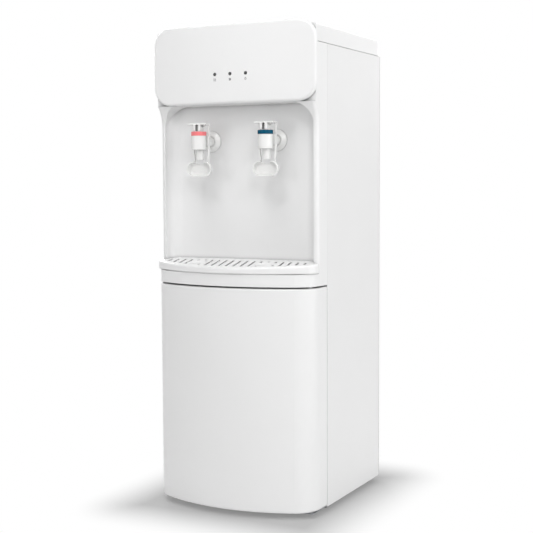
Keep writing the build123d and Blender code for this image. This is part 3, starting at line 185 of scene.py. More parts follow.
# Shader groups
noiseMean = 0.5
toneLook = {
    "cloudDetail": 3.0,
    "cloudGain": 2.0,
    "smearScale": 4.0,           # times the cloud scale
    "smearDetail": 4.0,
    "grainDetail": 2.0,
}


def buildMouldTone():
    # Moulded or painted skin: faint cloudiness, a fine surface texture and uneven gloss.
    tree, given, out = newGroup(
        "mouldTone",
        [("Colour", "Color", (0.8, 0.8, 0.8, 1)), ("Cloudiness", "Float", 0.02),
         ("Cloud Scale", "Float", 7.0), ("Grain Scale", "Float", 900.0),
         ("Gloss", "Float", 0.25), ("Gloss Spread", "Float", 0.06)],
        [("Colour", "Color"), ("Roughness", "Float"), ("Height", "Float")])
    place = objectPosition(tree)
    cloud = noise(tree, place, given["Cloud Scale"], toneLook["cloudDetail"])
    dimming = calc(tree, "MULTIPLY", calc(tree, "MULTIPLY", cloud, toneLook["cloudGain"]),
                   given["Cloudiness"])
    kept = calc(tree, "SUBTRACT", 1.0, dimming)
    colour = mixColour(tree, 1.0, given["Colour"], kept, "MULTIPLY")
    smearScale = calc(tree, "MULTIPLY", given["Cloud Scale"], toneLook["smearScale"])
    smear = noise(tree, place, smearScale, toneLook["smearDetail"])
    spread = calc(tree, "MULTIPLY", calc(tree, "SUBTRACT", smear, noiseMean),
                  given["Gloss Spread"])
    grain = noise(tree, place, given["Grain Scale"], toneLook["grainDetail"])
    feed(tree, out, Colour=colour, Roughness=calc(tree, "ADD", given["Gloss"], spread),
         Height=grain)
    return tree


dustLook = {
    "upPower": 3.0,              # how soon the dust thins out as a face tips
    "patchScale": 26.0,
    "patchDetail": 5.0,
    "roughening": 0.5,
}


def buildSettledDust():
    # A breath of dust on faces that look up, in patches.
    tree, given, out = newGroup(
        "settledDust",
        [("Colour", "Color", (0.8, 0.8, 0.8, 1)), ("Dust Colour", "Color", (0.55, 0.53, 0.5, 1)),
         ("Amount", "Float", 0.06), ("Roughness", "Float", 0.3)],
        [("Colour", "Color"), ("Roughness", "Float")])
    coordinates = addNode(tree, "ShaderNodeTexCoord").outputs
    upward = calc(tree, "MAXIMUM", splitVector(tree, coordinates["Normal"])["Z"], 0.0)
    upward = calc(tree, "POWER", upward, dustLook["upPower"])
    patches = noise(tree, coordinates["Object"], dustLook["patchScale"], dustLook["patchDetail"])
    mask = calc(tree, "MULTIPLY", calc(tree, "MULTIPLY", upward, patches), given["Amount"])
    rough = calc(tree, "ADD", given["Roughness"],
                 calc(tree, "MULTIPLY", mask, dustLook["roughening"]))
    feed(tree, out, Colour=mixColour(tree, mask, given["Colour"], given["Dust Colour"]),
         Roughness=rough)
    return tree


# Painted shade in seams and corners: occlusion samples, how sharply it sets in, and the dark
# colour it mixes in.
paintedShadeLook = {
    "samples": 12,
    "curve": 1.4,
    "colour": (0.05, 0.05, 0.05, 1),
}


def buildPaintedCornerShade():
    # Painted shade: the colour darkens in tight seams, inner corners and under overhangs, where
    # ambient occlusion finds the surface closed in.
    tree, given, out = newGroup(
        "paintedCornerShade",
        [("Colour", "Color", (0.8, 0.8, 0.8, 1)), ("Reach", "Float", 0.006),
         ("Amount", "Float", 0.5)],
        [("Colour", "Color")])
    cover = addNode(tree, "ShaderNodeAmbientOcclusion", samples=paintedShadeLook["samples"])
    feed(tree, cover, Distance=given["Reach"])
    closed = calc(tree, "POWER", calc(tree, "SUBTRACT", 1.0, cover.outputs["AO"]),
                  paintedShadeLook["curve"])
    mask = calc(tree, "MULTIPLY", closed, given["Amount"])
    feed(tree, out, Colour=mixColour(tree, mask, given["Colour"], paintedShadeLook["colour"]))
    return tree


brushDetail = 3.0


def buildBrushing():
    # Metal grain drawn out along one direction: a small stretch value runs along the grain.
    tree, given, out = newGroup(
        "brushing",
        [("Colour", "Color", (0.6, 0.6, 0.62, 1)), ("Stretch", "Vector", (900.0, 900.0, 12.0)),
         ("Gloss", "Float", 0.28), ("Gloss Spread", "Float", 0.16), ("Tint", "Float", 0.16)],
        [("Colour", "Color"), ("Roughness", "Float"), ("Height", "Float")])
    stretched = calcVector(tree, "MULTIPLY", objectPosition(tree), given["Stretch"])
    grain = noise(tree, stretched, 1.0, brushDetail)
    kept = calc(tree, "SUBTRACT", 1.0, calc(tree, "MULTIPLY", grain, given["Tint"]))
    spread = calc(tree, "MULTIPLY", calc(tree, "SUBTRACT", grain, noiseMean),
                  given["Gloss Spread"])
    feed(tree, out, Colour=mixColour(tree, 1.0, given["Colour"], kept, "MULTIPLY"),
         Roughness=calc(tree, "ADD", given["Gloss"], spread), Height=grain)
    return tree


crystalSpread = 0.12             # how much the gloss differs between crystals


def buildSpangle():
    # Zinc coat: flat crystals of slightly different greys.
    tree, given, out = newGroup(
        "spangle",
        [("Colour", "Color", (0.55, 0.56, 0.58, 1)), ("Crystal Scale", "Float", 140.0),
         ("Contrast", "Float", 0.28), ("Gloss", "Float", 0.42)],
        [("Colour", "Color"), ("Roughness", "Float"), ("Height", "Float")])
    cells = addNode(tree, "ShaderNodeTexVoronoi")
    feed(tree, cells, Vector=objectPosition(tree), Scale=given["Crystal Scale"])
    level = addNode(tree, "ShaderNodeSeparateColor")
    tree.links.new(cells.outputs["Color"], level.inputs[0])
    kept = calc(tree, "SUBTRACT", 1.0,
                calc(tree, "MULTIPLY", level.outputs[0], given["Contrast"]))
    rough = calc(tree, "ADD", given["Gloss"],
                 calc(tree, "MULTIPLY", level.outputs[1], crystalSpread))
    feed(tree, out, Colour=mixColour(tree, 1.0, given["Colour"], kept, "MULTIPLY"),
         Roughness=rough, Height=cells.outputs["Distance"])
    return tree


groups = {
    "mouldTone": buildMouldTone(),
    "settledDust": buildSettledDust(),
    "paintedCornerShade": buildPaintedCornerShade(),
    "brushing": buildBrushing(),
    "spangle": buildSpangle(),
}
print("shader groups built:", len(groups))


# Material helpers
edgeSamples = 6


def placeGroup(tree, name, **values):
    node = addNode(tree, "ShaderNodeGroup", node_tree=groups[name])
    return feed(tree, node, **values)


def newMaterial(name, **fixed):
    # A material with its Principled shader; fixed values go on the shader's own sockets.
    material = bpy.data.materials.new(name)
    material.use_nodes = True
    tree = material.node_tree
    shader = tree.nodes["Principled BSDF"]
    feed(tree, shader, **fixed)
    return material, tree, shader


def addRelief(tree, shader, height, strength, depth, edgeRadius=0.0):
    # Bump from a height, on normals that a small bevel softens at the edges.
    bump = addNode(tree, "ShaderNodeBump")
    feed(tree, bump, Height=height, Strength=strength, Distance=depth)
    if edgeRadius:
        bevel = addNode(tree, "ShaderNodeBevel", samples=edgeSamples)
        feed(tree, bevel, Radius=edgeRadius, Normal=bump.outputs[0])
        feed(tree, shader, Normal=bevel.outputs[0])
    else:
        feed(tree, shader, Normal=bump.outputs[0])


# Plastics, paints and rubber
# Painted shade in seams, corners and under overhangs, for each material that takes it.
paintedShadeAmounts = {
    # reach of the painted shade, amount
    "whiteShell": (7 * mm, 0.85),
    "whiteDoor": (6 * mm, 0.7),
    "powderCoat": (5 * mm, 0.6),
    "tapWhite": (7 * mm, 0.6),
    "trayGrey": (5 * mm, 0.8),
    "hotRed": (3 * mm, 0.4),
    "coldBlue": (3 * mm, 0.4),
}
usualShine = 0.5
shineShare = {"coldBlue": 0.1, "hotRed": 0.3}    # mirror light where it isn't the usual
mouldings = {
    # colour, cloudiness, grain scale, gloss, gloss spread,
    # then bump strength, bump depth, edge radius, dust
    "whiteShell": ((0.80, 0.80, 0.80), 0.012, 700.0, 0.31, 0.05,
                   0.10, 0.02 * mm, 0.7 * mm, 0.05),
    "whiteDoor": ((0.79, 0.79, 0.79), 0.012, 520.0, 0.32, 0.05,
                  0.12, 0.02 * mm, 0.5 * mm, 0.04),
    "powderCoat": ((0.78, 0.78, 0.78), 0.018, 1500.0, 0.36, 0.08,
                   0.22, 0.03 * mm, 0.4 * mm, 0.04),
    "tapWhite": ((0.82, 0.82, 0.81), 0.010, 900.0, 0.18, 0.06,
                 0.08, 0.01 * mm, 0.5 * mm, 0.0),
    "hotRed": ((0.88, 0.215, 0.225), 0.03, 900.0, 0.2, 0.08,
               0.1, 0.01 * mm, 0.25 * mm, 0.0),
    "coldBlue": ((0.0, 0.076, 0.139), 0.05, 900.0, 0.15, 0.06,
                 0.1, 0.01 * mm, 0.25 * mm, 0.0),
    "trayGrey": ((0.80, 0.80, 0.80), 0.02, 800.0, 0.34, 0.08,
                 0.15, 0.02 * mm, 0.4 * mm, 0.08),
    "naturalPlastic": ((0.72, 0.72, 0.70), 0.03, 1100.0, 0.45, 0.1,
                       0.25, 0.03 * mm, 0.3 * mm, 0.03),
    "blackPlastic": ((0.018, 0.018, 0.019), 0.1, 1600.0, 0.46, 0.12,
                     0.4, 0.04 * mm, 0.3 * mm, 0.06),
    "blackPaint": ((0.012, 0.012, 0.013), 0.1, 1100.0, 0.34, 0.12,
                   0.3, 0.04 * mm, 0.0, 0.08),
    "blackRubber": ((0.02, 0.02, 0.02), 0.15, 1300.0, 0.7, 0.15,
                    0.5, 0.05 * mm, 0.4 * mm, 0.1),
    "siliconeHose": ((0.68, 0.68, 0.65), 0.05, 500.0, 0.4, 0.1,
                     0.2, 0.03 * mm, 0.0, 0.0),
    "softSeal": ((0.5, 0.5, 0.49), 0.05, 700.0, 0.5, 0.1,
                 0.2, 0.02 * mm, 0.2 * mm, 0.0),
    "rockerRed": ((0.5, 0.012, 0.01), 0.05, 900.0, 0.22, 0.06,
                  0.1, 0.01 * mm, 0.3 * mm, 0.0),
    "rockerGreen": ((0.01, 0.15, 0.03), 0.05, 900.0, 0.22, 0.06,
                    0.1, 0.01 * mm, 0.3 * mm, 0.0),
    "printGrey": ((0.10, 0.10, 0.11), 0.05, 1500.0, 0.5, 0.05,
                  0.1, 0.01 * mm, 0.0, 0.0),
    "printWhite": ((0.75, 0.75, 0.75), 0.03, 1500.0, 0.45, 0.05,
                   0.1, 0.01 * mm, 0.0, 0.0),
    "boardGreen": ((0.015, 0.09, 0.035), 0.15, 400.0, 0.35, 0.1,
                   0.3, 0.03 * mm, 0.0, 0.0),
    "stemGrey": ((0.36, 0.36, 0.36), 0.05, 1100.0, 0.4, 0.1,
                 0.2, 0.02 * mm, 0.2 * mm, 0.0),
    "magnetDark": ((0.03, 0.03, 0.032), 0.1, 900.0, 0.6, 0.1,
                   0.3, 0.04 * mm, 0.2 * mm, 0.0),
}


def mouldedMaterial(name):
    colour, cloudiness, grainScale, gloss, spread, strength, depth, edge, dust = mouldings[name]
    material, tree, shader = newMaterial(name, SpecularIORLevel=shineShare.get(name, usualShine))
    tone = placeGroup(tree, "mouldTone", Colour=(*colour, 1), Cloudiness=cloudiness,
                      GrainScale=grainScale, Gloss=gloss, GlossSpread=spread)
    shade, rough = tone.outputs["Colour"], tone.outputs["Roughness"]
    if dust:
        settled = placeGroup(tree, "settledDust", Colour=shade, Roughness=rough, Amount=dust)
        shade, rough = settled.outputs["Colour"], settled.outputs["Roughness"]
    # Painted shade: the colour darkens where the surface is closed in.
    if name in paintedShadeAmounts:
        reach, amount = paintedShadeAmounts[name]
        paintedShade = placeGroup(tree, "paintedCornerShade", Colour=shade, Reach=reach, Amount=amount)
        shade = paintedShade.outputs["Colour"]
    feed(tree, shader, BaseColor=shade, Roughness=rough)
    addRelief(tree, shader, tone.outputs["Height"], strength, depth, edge)
    return material


lensLook = {
    "colour": (0.006, 0.006, 0.007, 1),
    "cloudiness": 0.2,
    "grainScale": 2500.0,
    "gloss": 0.12,
    "glossSpread": 0.05,
    "index": 1.49,
    "bump": 0.05,
    "bumpDepth": 0.01 * mm,
    "edgeRadius": 0.3 * mm,
}


def smokedLensMaterial():
    material, tree, shader = newMaterial("smokedLens", IOR=lensLook["index"])
    tone = placeGroup(tree, "mouldTone", Colour=lensLook["colour"],
                      Cloudiness=lensLook["cloudiness"], GrainScale=lensLook["grainScale"],
                      Gloss=lensLook["gloss"], GlossSpread=lensLook["glossSpread"])
    feed(tree, shader, BaseColor=tone.outputs["Colour"], Roughness=tone.outputs["Roughness"])
    addRelief(tree, shader, tone.outputs["Height"], lensLook["bump"], lensLook["bumpDepth"],
              lensLook["edgeRadius"])
    return material


# Metals
metalBumpDepth = 0.02 * mm
metals = {
    # colour, stretch, gloss, gloss spread, tint, bump strength, edge radius
    "brightSteel": ((0.58, 0.58, 0.59), (900.0, 900.0, 60.0), 0.37, 0.14, 0.18, 0.15, 0.2 * mm),
    "tankSteel": ((0.62, 0.62, 0.63), (30.0, 30.0, 1400.0), 0.38, 0.16, 0.2, 0.2, 0.5 * mm),
    "copperPipe": ((0.75, 0.33, 0.17), (700.0, 700.0, 40.0), 0.4, 0.2, 0.25, 0.2, 0.0),
    "coilStrip": ((0.66, 0.66, 0.67), (20.0, 20.0, 420.0), 0.38, 0.15, 0.3, 0.6, 0.4 * mm),
}


def metalMaterial(name):
    colour, stretch, gloss, spread, tint, strength, edge = metals[name]
    material, tree, shader = newMaterial(name, Metallic=1.0)
    grain = placeGroup(tree, "brushing", Colour=(*colour, 1), Stretch=stretch, Gloss=gloss,
                       GlossSpread=spread, Tint=tint)
    feed(tree, shader, BaseColor=grain.outputs["Colour"], Roughness=grain.outputs["Roughness"])
    addRelief(tree, shader, grain.outputs["Height"], strength, metalBumpDepth, edge)
    return material


zincLook = {
    "metallic": 0.9,
    "bump": 0.2,
    "bumpDepth": 0.05 * mm,
    "edgeRadius": 0.3 * mm,
}


def galvanisedMaterial():
    material, tree, shader = newMaterial("galvanised", Metallic=zincLook["metallic"])
    coat = placeGroup(tree, "spangle")
    feed(tree, shader, BaseColor=coat.outputs["Colour"], Roughness=coat.outputs["Roughness"])
    addRelief(tree, shader, coat.outputs["Height"], zincLook["bump"], zincLook["bumpDepth"],
              zincLook["edgeRadius"])
    return material


foamLook = {
    "beadScale": 300.0,
    "jointWidth": 0.12,          # share of a bead
    "jointShade": 0.6,
    "beadColour": (0.86, 0.85, 0.8, 1),
    "jointColour": (0.6, 0.58, 0.52, 1),
    "cloudiness": 0.04,
    "gloss": 0.72,
    "glossSpread": 0.1,
    "bump": 0.6,
    "bumpDepth": 0.4 * mm,
}


def beadFoamMaterial():
    # Bead foam: rounded cells with darker joints.
    material, tree, shader = newMaterial("beadFoam")
    cells = addNode(tree, "ShaderNodeTexVoronoi", feature="DISTANCE_TO_EDGE")
    feed(tree, cells, Vector=objectPosition(tree), Scale=foamLook["beadScale"])
    joint = addNode(tree, "ShaderNodeMapRange")
    feed(tree, joint, Value=cells.outputs["Distance"], FromMin=0.0,
         FromMax=foamLook["jointWidth"], ToMin=foamLook["jointShade"], ToMax=0.0)
    colour = mixColour(tree, joint.outputs[0], foamLook["beadColour"], foamLook["jointColour"])
    tone = placeGroup(tree, "mouldTone", Colour=colour, Cloudiness=foamLook["cloudiness"],
                      Gloss=foamLook["gloss"], GlossSpread=foamLook["glossSpread"])
    feed(tree, shader, BaseColor=tone.outputs["Colour"], Roughness=tone.outputs["Roughness"])
    addRelief(tree, shader, cells.outputs["Distance"], foamLook["bump"], foamLook["bumpDepth"])
    return material


materials = {name: mouldedMaterial(name) for name in mouldings}
materials.update({name: metalMaterial(name) for name in metals})
materials["smokedLens"] = smokedLensMaterial()
materials["galvanised"] = galvanisedMaterial()
materials["beadFoam"] = beadFoamMaterial()
print("materials made:", len(materials))

# Which material each slot of the record takes
slotFinish = {
    "shell": "whiteShell", "door": "whiteDoor", "panel": "powderCoat",
    "rear_sheet": "powderCoat", "tap": "tapWhite", "hot_red": "hotRed",
    "cold_blue": "coldBlue", "lens": "smokedLens", "board": "boardGreen", "tray": "trayGrey",
    "steel": "brightSteel", "tank": "tankSteel", "foam": "beadFoam", "hose": "siliconeHose",
    "seal": "softSeal", "inner_plastic": "naturalPlastic", "coil": "coilStrip",
    "magnet": "magnetDark", "galvanised": "galvanised", "black_metal": "blackPaint",
    "black_plastic": "blackPlastic", "rubber": "blackRubber", "copper": "copperPipe",
    "rocker_red": "rockerRed", "rocker_green": "rockerGreen",
}
# Nodes whose look differs from the rest of their slot
nodeFinish = {"hot_stem": "stemGrey", "cold_stem": "stemGrey"}
for subpart in frame["record"]["subparts"]:
    name = subpart["node"]
    finish = nodeFinish.get(name, slotFinish[subpart["material_slot"]])
    for slot in nodes[name].material_slots:
        slot.material = materials[finish]
print("frame dressed")


# Piece helpers
meshLook = {
    "mergeDistance": 0.0005 * mm,
    "latheMergeDistance": 0.001 * mm,
    "sharpDegrees": 32,
    "barBevelShare": 0.3,        # share of a bar's least side
    "barBevelSteps": 2,
}


def addPiece(name, mesh, material, body="root"):
    # Turns a bmesh into an object at the origin that rides on a body.
    bmesh.ops.remove_doubles(mesh, verts=mesh.verts, dist=meshLook["mergeDistance"])
    bmesh.ops.recalc_face_normals(mesh, faces=mesh.faces)
    data = bpy.data.meshes.new(name)
    mesh.to_mesh(data)
    mesh.free()
    data.shade_smooth()
    data.set_sharp_from_angle(angle=math.radians(meshLook["sharpDegrees"]))
    piece = bpy.data.objects.new(name, data)
    bpy.context.scene.collection.objects.link(piece)
    data.materials.append(materials[material])
    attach(piece, body)
    return piece


def barInto(mesh, size, turn, place):
    # A small bevelled bar, used for strokes and marks.
    made = bmesh.ops.create_cube(mesh, size=1.0)["verts"]
    bmesh.ops.scale(mesh, vec=size, verts=made)
    edges = list({edge for vert in made for edge in vert.link_edges})
    bar = bmesh.ops.bevel(mesh, geom=edges, offset=min(size) * meshLook["barBevelShare"],
                          segments=meshLook["barBevelSteps"], affect="EDGES", profile=0.5,
                          material=-1)["verts"]
    bmesh.ops.rotate(mesh, verts=bar, cent=(0, 0, 0), matrix=turn)
    bmesh.ops.translate(mesh, verts=bar, vec=place)


def lathe(mesh, outline, steps):
    # Spins (radius, y) points about the Y axis.
    points = [mesh.verts.new((radius, y, 0)) for radius, y in outline]
    edges = [mesh.edges.new(pair) for pair in zip(points, points[1:])]
    bmesh.ops.spin(mesh, geom=points + edges, cent=(0, 0, 0), axis=(0, 1, 0), angle=2 * math.pi,
                   steps=steps, use_merge=True)
    bmesh.ops.remove_doubles(mesh, verts=mesh.verts, dist=meshLook["latheMergeDistance"])
    bmesh.ops.recalc_face_normals(mesh, faces=mesh.faces)


# Signs under the lamps. Strokes are (x, z, length, degrees), and 0 degrees is upright. Their
# places and lengths, also in the tables for steam and flake, are shares of the sign's height.
headLook = {
    "bowRise": 7.5 * mm,         # how far the head's face stands forward in the middle
    "signHeight": 5.0 * mm,
    "signDrop": 9.4 * mm,        # lamp centre down to the middle of its sign
    "stroke": 0.62 * mm,
    "printDepth": 0.08 * mm,
}
steamLook = {
    "places": (-0.36, 0, 0.36),
    "steps": 4,
    "foot": -0.36,
    "rise": 0.24,                # from step to step
    "sway": 0.06,
    "length": 0.3,
    "leanDegrees": 24,
}
flakeLook = {
    "bars": 3,
    "barLength": 1.0,
    "turnDegrees": 60,           # between neighbouring arms
    "barbReach": 0.33,
    "barbSide": 0.075,
    "barbLength": 0.2,
    "barbLeanDegrees": 45,
}
bellStrokes = [
    (-0.22, 0.06, 0.52, 10), (0.22, 0.06, 0.52, -10),    # flanks
    (0, 0.34, 0.42, 90), (0, -0.2, 0.86, 90),            # crown and rim
    (0, 0.42, 0.2, 0), (0, -0.38, 0.2, 90),              # loop and clapper
]


def steamStrokes():
    # Rising waves of short strokes that lean to one side and the other.
    return [(x + steamLook["sway"] * (-1) ** step, steamLook["foot"] + steamLook["rise"] * step,
             steamLook["length"], steamLook["leanDegrees"] * (-1) ** step)
            for x in steamLook["places"] for step in range(steamLook["steps"])]


def flakeStrokes():
    # Crossed bars with a pair of small barbs near each tip.
    turn, reach, bars = flakeLook["turnDegrees"], flakeLook["barbReach"], flakeLook["bars"]
    strokes = [(0, 0, flakeLook["barLength"], turn * bar) for bar in range(bars)]
    for arm in range(2 * bars):
        angle = math.radians(turn * arm)
        for way in (-1, 1):
            side, lean = flakeLook["barbSide"] * way, flakeLook["barbLeanDegrees"] * way
            strokes.append((reach * math.sin(angle) + side * math.cos(angle),
                            reach * math.cos(angle) - side * math.sin(angle),
                            flakeLook["barbLength"], turn * arm + lean))
    return strokes


signs = {
    "hotSign": (-1, steamStrokes()),
    "coldSign": (0, flakeStrokes()),
    "alertSign": (1, bellStrokes),
}


def headFace(x):
    # Y of the head's face and its lean at a distance x from the middle.
    low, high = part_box("head_plate")
    half = (high.x - low.x) / 2
    rise = headLook["bowRise"]
    radius = (half ** 2 + rise ** 2) / (2 * rise)
    return low.y + radius - math.sqrt(radius ** 2 - x ** 2), math.asin(x / radius)


def signMesh(strokes):
    mesh = bmesh.new()
    height = headLook["signHeight"]
    for x, z, length, degrees in strokes:
        barInto(mesh, (headLook["stroke"], headLook["printDepth"], length * height),
                Matrix.Rotation(math.radians(degrees), 3, "Y"),
                Vector((x * height, 0, z * height)))
    return mesh


def makeSigns():
    low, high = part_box("lamp_lenses")
    pitch = (high.x - low.x - (high.z - low.z)) / 2
    height = (low.z + high.z) / 2 - headLook["signDrop"]
    for name, (place, strokes) in signs.items():
        x = place * pitch
        y, lean = headFace(x)
        mesh = signMesh(strokes)
        bmesh.ops.rotate(mesh, verts=mesh.verts, cent=(0, 0, 0),
                         matrix=Matrix.Rotation(lean, 3, "Z"))
        bmesh.ops.translate(mesh, verts=mesh.verts, vec=(x, y, height))
        addPiece(name, mesh, "printGrey")


makeSigns()
print("signs printed")


# Coil springs inside the taps, between the caps and the stems' collars
springLook = {
    "wire": 1.3 * mm,
    "wireSides": 10,
    "stepsPerTurn": 24,
    "closedTurns": 1,            # at each end, where the coils touch
    "openTurns": 4,
}


def springMesh(radius, height):
    # A wire ring drawn up along a helix about Z, from 0 to height.
    wire, steps = springLook["wire"], springLook["stepsPerTurn"]
    closed, opened = springLook["closedTurns"], springLook["openTurns"]
    openPitch = (height - wire * (1 + 2 * closed)) / opened
    mesh = bmesh.new()
    ring = bmesh.ops.create_circle(mesh, segments=springLook["wireSides"],
                                   radius=wire / 2)["verts"]
    bmesh.ops.rotate(mesh, verts=ring, cent=(0, 0, 0),
                     matrix=Matrix.Rotation(math.radians(90), 3, "X"))
    bmesh.ops.translate(mesh, verts=ring, vec=(radius - wire / 2, 0, wire / 2))
    last = ring + list({edge for vert in ring for edge in vert.link_edges})
    for turns, pitch in ((closed, wire), (opened, openPitch), (closed, wire)):
        last = bmesh.ops.spin(mesh, geom=last, cent=(0, 0, 0), axis=(0, 0, 1),
                              dvec=(0, 0, pitch / steps), angle=2 * math.pi * turns,
                              steps=steps * turns)["geom_last"]
    ends = [edge for edge in mesh.edges if edge.is_boundary]
    bmesh.ops.holes_fill(mesh, edges=ends, sides=0)
    return mesh


def makeSprings():
    low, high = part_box("tap_springs")
    for side in ("hot", "cold"):
        start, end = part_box(side + "_stem")
        middle = (start + end) / 2
        mesh = springMesh((high.y - low.y) / 2, high.z - low.z)
        bmesh.ops.translate(mesh, verts=mesh.verts, vec=(middle.x, middle.y, low.z))
        spring = addPiece(side + "Spring", mesh, "brightSteel")
        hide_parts("tap_springs")
        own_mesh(spring)


makeSprings()
print("springs coiled")


# Screws at the back, with a cross in each head
screwLook = {
    "rows": 4,
    "headRadius": 3.6 * mm,
    "shankRadius": 1.6 * mm,
    "steps": 28,
    "crossReach": 1.9 * mm,
    "crossWidth": 0.8 * mm,
    "crossDepth": 0.9 * mm,
    "tipShare": 0.75,            # width of an arm's tip, as a share of its root
    "turnPerRow": 0.7,           # radians, so that no two crosses stand alike
    "turnPerMetre": 11,
    # outline of the head: share of its radius, share of its height
    "crownShares": ((0.0, 1.0), (0.4, 0.97), (0.7, 0.85), (0.9, 0.6), (1.0, 0.3), (1.0, 0.0)),
}


def crossCutter(top):
    # A closed cross: a small cube with an arm drawn out of each of four sides.
    mesh = bmesh.new()
    made = bmesh.ops.create_cube(mesh, size=1.0)["verts"]
    width, depth, tip = (screwLook[key] for key in ("crossWidth", "crossDepth", "tipShare"))
    reach = screwLook["crossReach"] - width / 2
    bmesh.ops.scale(mesh, vec=(width, 2 * depth, width), verts=made)
    bmesh.ops.translate(mesh, vec=(0, top, 0), verts=made)
    mesh.normal_update()
    sides = [face for face in mesh.faces if abs(face.normal.y) < 0.5]
    for face in sides:
        away = face.normal.copy()
        arm = bmesh.ops.extrude_discrete_faces(mesh, faces=[face])["faces"][0]
        bmesh.ops.translate(mesh, vec=away * reach, verts=arm.verts)
        bmesh.ops.scale(mesh, vec=(tip, 1, tip), verts=arm.verts,
                        space=Matrix.Translation(-arm.calc_center_median()))
    bmesh.ops.recalc_face_normals(mesh, faces=mesh.faces)
    return mesh


def cutAway(body, cutter):
    # Body less cutter, as a new mesh.
    held = []
    for name, mesh in (("body", body), ("cutter", cutter)):
        data = bpy.data.meshes.new(name)
        mesh.to_mesh(data)
        mesh.free()
        thing = bpy.data.objects.new(name, data)
        bpy.context.scene.collection.objects.link(thing)
        held.append(thing)
    cut = held[0].modifiers.new("cut", "BOOLEAN")
    cut.operation, cut.object, cut.solver = "DIFFERENCE", held[1], "EXACT"
    finished = held[0].evaluated_get(bpy.context.evaluated_depsgraph_get())
    result = bpy.data.meshes.new_from_object(finished)
    for thing in held:
        bpy.data.objects.remove(thing)
    return result


def screwMesh(tip, height):
    # One screw about the Y axis: its head from 0 to height, and its shank down to the tip.
    radius, shank = screwLook["headRadius"], screwLook["shankRadius"]
    outline = [(radius * out, height * up) for out, up in screwLook["crownShares"]]
    outline += [(shank, 0), (shank, tip + shank), (0, tip)]
    head = bmesh.new()
    lathe(head, outline, screwLook["steps"])
    return cutAway(head, crossCutter(height))


def makeScrews():
    low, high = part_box("panel_screws")
    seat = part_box("back_panel")[1].y
    finished = screwMesh(low.y - seat, high.y - seat)
    radius, rows = screwLook["headRadius"], screwLook["rows"]
    mesh = bmesh.new()
    for x in (low.x + radius, high.x - radius):
        for row in range(rows):
            z = low.z + radius + row * (high.z - low.z - 2 * radius) / (rows - 1)
            before = len(mesh.verts)
            mesh.from_mesh(finished)
            mesh.verts.ensure_lookup_table()
            added = mesh.verts[before:]
            turn = screwLook["turnPerRow"] * row + screwLook["turnPerMetre"] * x
            bmesh.ops.rotate(mesh, verts=added, cent=(0, 0, 0),
                             matrix=Matrix.Rotation(turn, 3, "Y"))
            bmesh.ops.translate(mesh, verts=added, vec=(x, seat, z))
    screws = addPiece("backScrews", mesh, "brightSteel")
    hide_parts("panel_screws")


# Marks on the two switches: a bar for on and a ring for off
rockerLook = {
    "rise": 2.2 * mm,            # height of the rocker's ends over its middle
    "crestShare": 0.8,           # where the ends are highest, as a share of its half height
    "markShare": 0.45,           # where a mark sits, likewise
    "barLength": 3.6 * mm,
    "ringRadius": 1.9 * mm,
    "ringSteps": 28,
    "stroke": 0.7 * mm,
    "printDepth": 0.12 * mm,
}


def makeRockerMarks():
    stroke, depth = rockerLook["stroke"], rockerLook["printDepth"]
    for side, slotName in (("hot", "rocker_red"), ("cold", "rocker_green")):
        low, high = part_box("rocker_" + side)
        half = (high.z - low.z) / 2
        lean = math.atan2(rockerLook["rise"], rockerLook["crestShare"] * half)
        up = rockerLook["markShare"] * half
        face = high.y - rockerLook["rise"] + math.tan(lean) * up
        middle = Vector(((low.x + high.x) / 2, face, (low.z + high.z) / 2))
        bar = bmesh.new()
        barInto(bar, (stroke, depth, rockerLook["barLength"]), Matrix.Rotation(-lean, 3, "X"),
                middle + Vector((0, 0, up)))
        addPiece(side + "OnMark", bar, "printWhite", "rocker_" + side)
        ring = bmesh.new()
        inner, outer = rockerLook["ringRadius"] - stroke, rockerLook["ringRadius"]
        lathe(ring, [(inner, -depth / 2), (inner, depth / 2), (outer, depth / 2),
                     (outer, -depth / 2), (inner, -depth / 2)], rockerLook["ringSteps"])
        bmesh.ops.rotate(ring, verts=ring.verts, cent=(0, 0, 0),
                         matrix=Matrix.Rotation(lean, 3, "X"))
        bmesh.ops.translate(ring, verts=ring.verts, vec=middle - Vector((0, 0, up)))
        addPiece(side + "OffMark", ring, "printWhite", "rocker_" + side)


# Plated sleeves over the inlet's three blades
inletLook = {
    "bladePitch": 7.0 * mm,
    "bladeSize": (2.1 * mm, 12.05 * mm, 4.1 * mm),
    "bladeSetback": 2.95 * mm,   # tips of the blades below the flange
    "earthLift": 2.0 * mm,
}


def makeInletBlades():
    low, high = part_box("power_inlet")
    deep = inletLook["bladeSize"][1]
    mesh = bmesh.new()
    for place, lift in ((-1, 0), (0, inletLook["earthLift"]), (1, 0)):
        barInto(mesh, inletLook["bladeSize"], Matrix.Identity(3),
                Vector(((low.x + high.x) / 2 + place * inletLook["bladePitch"],
                        high.y - inletLook["bladeSetback"] - deep / 2,
                        (low.z + high.z) / 2 + lift)))
    addPiece("inletBlades", mesh, "brightSteel")


makeScrews()
makeRockerMarks()
makeInletBlades()
print("back details made")


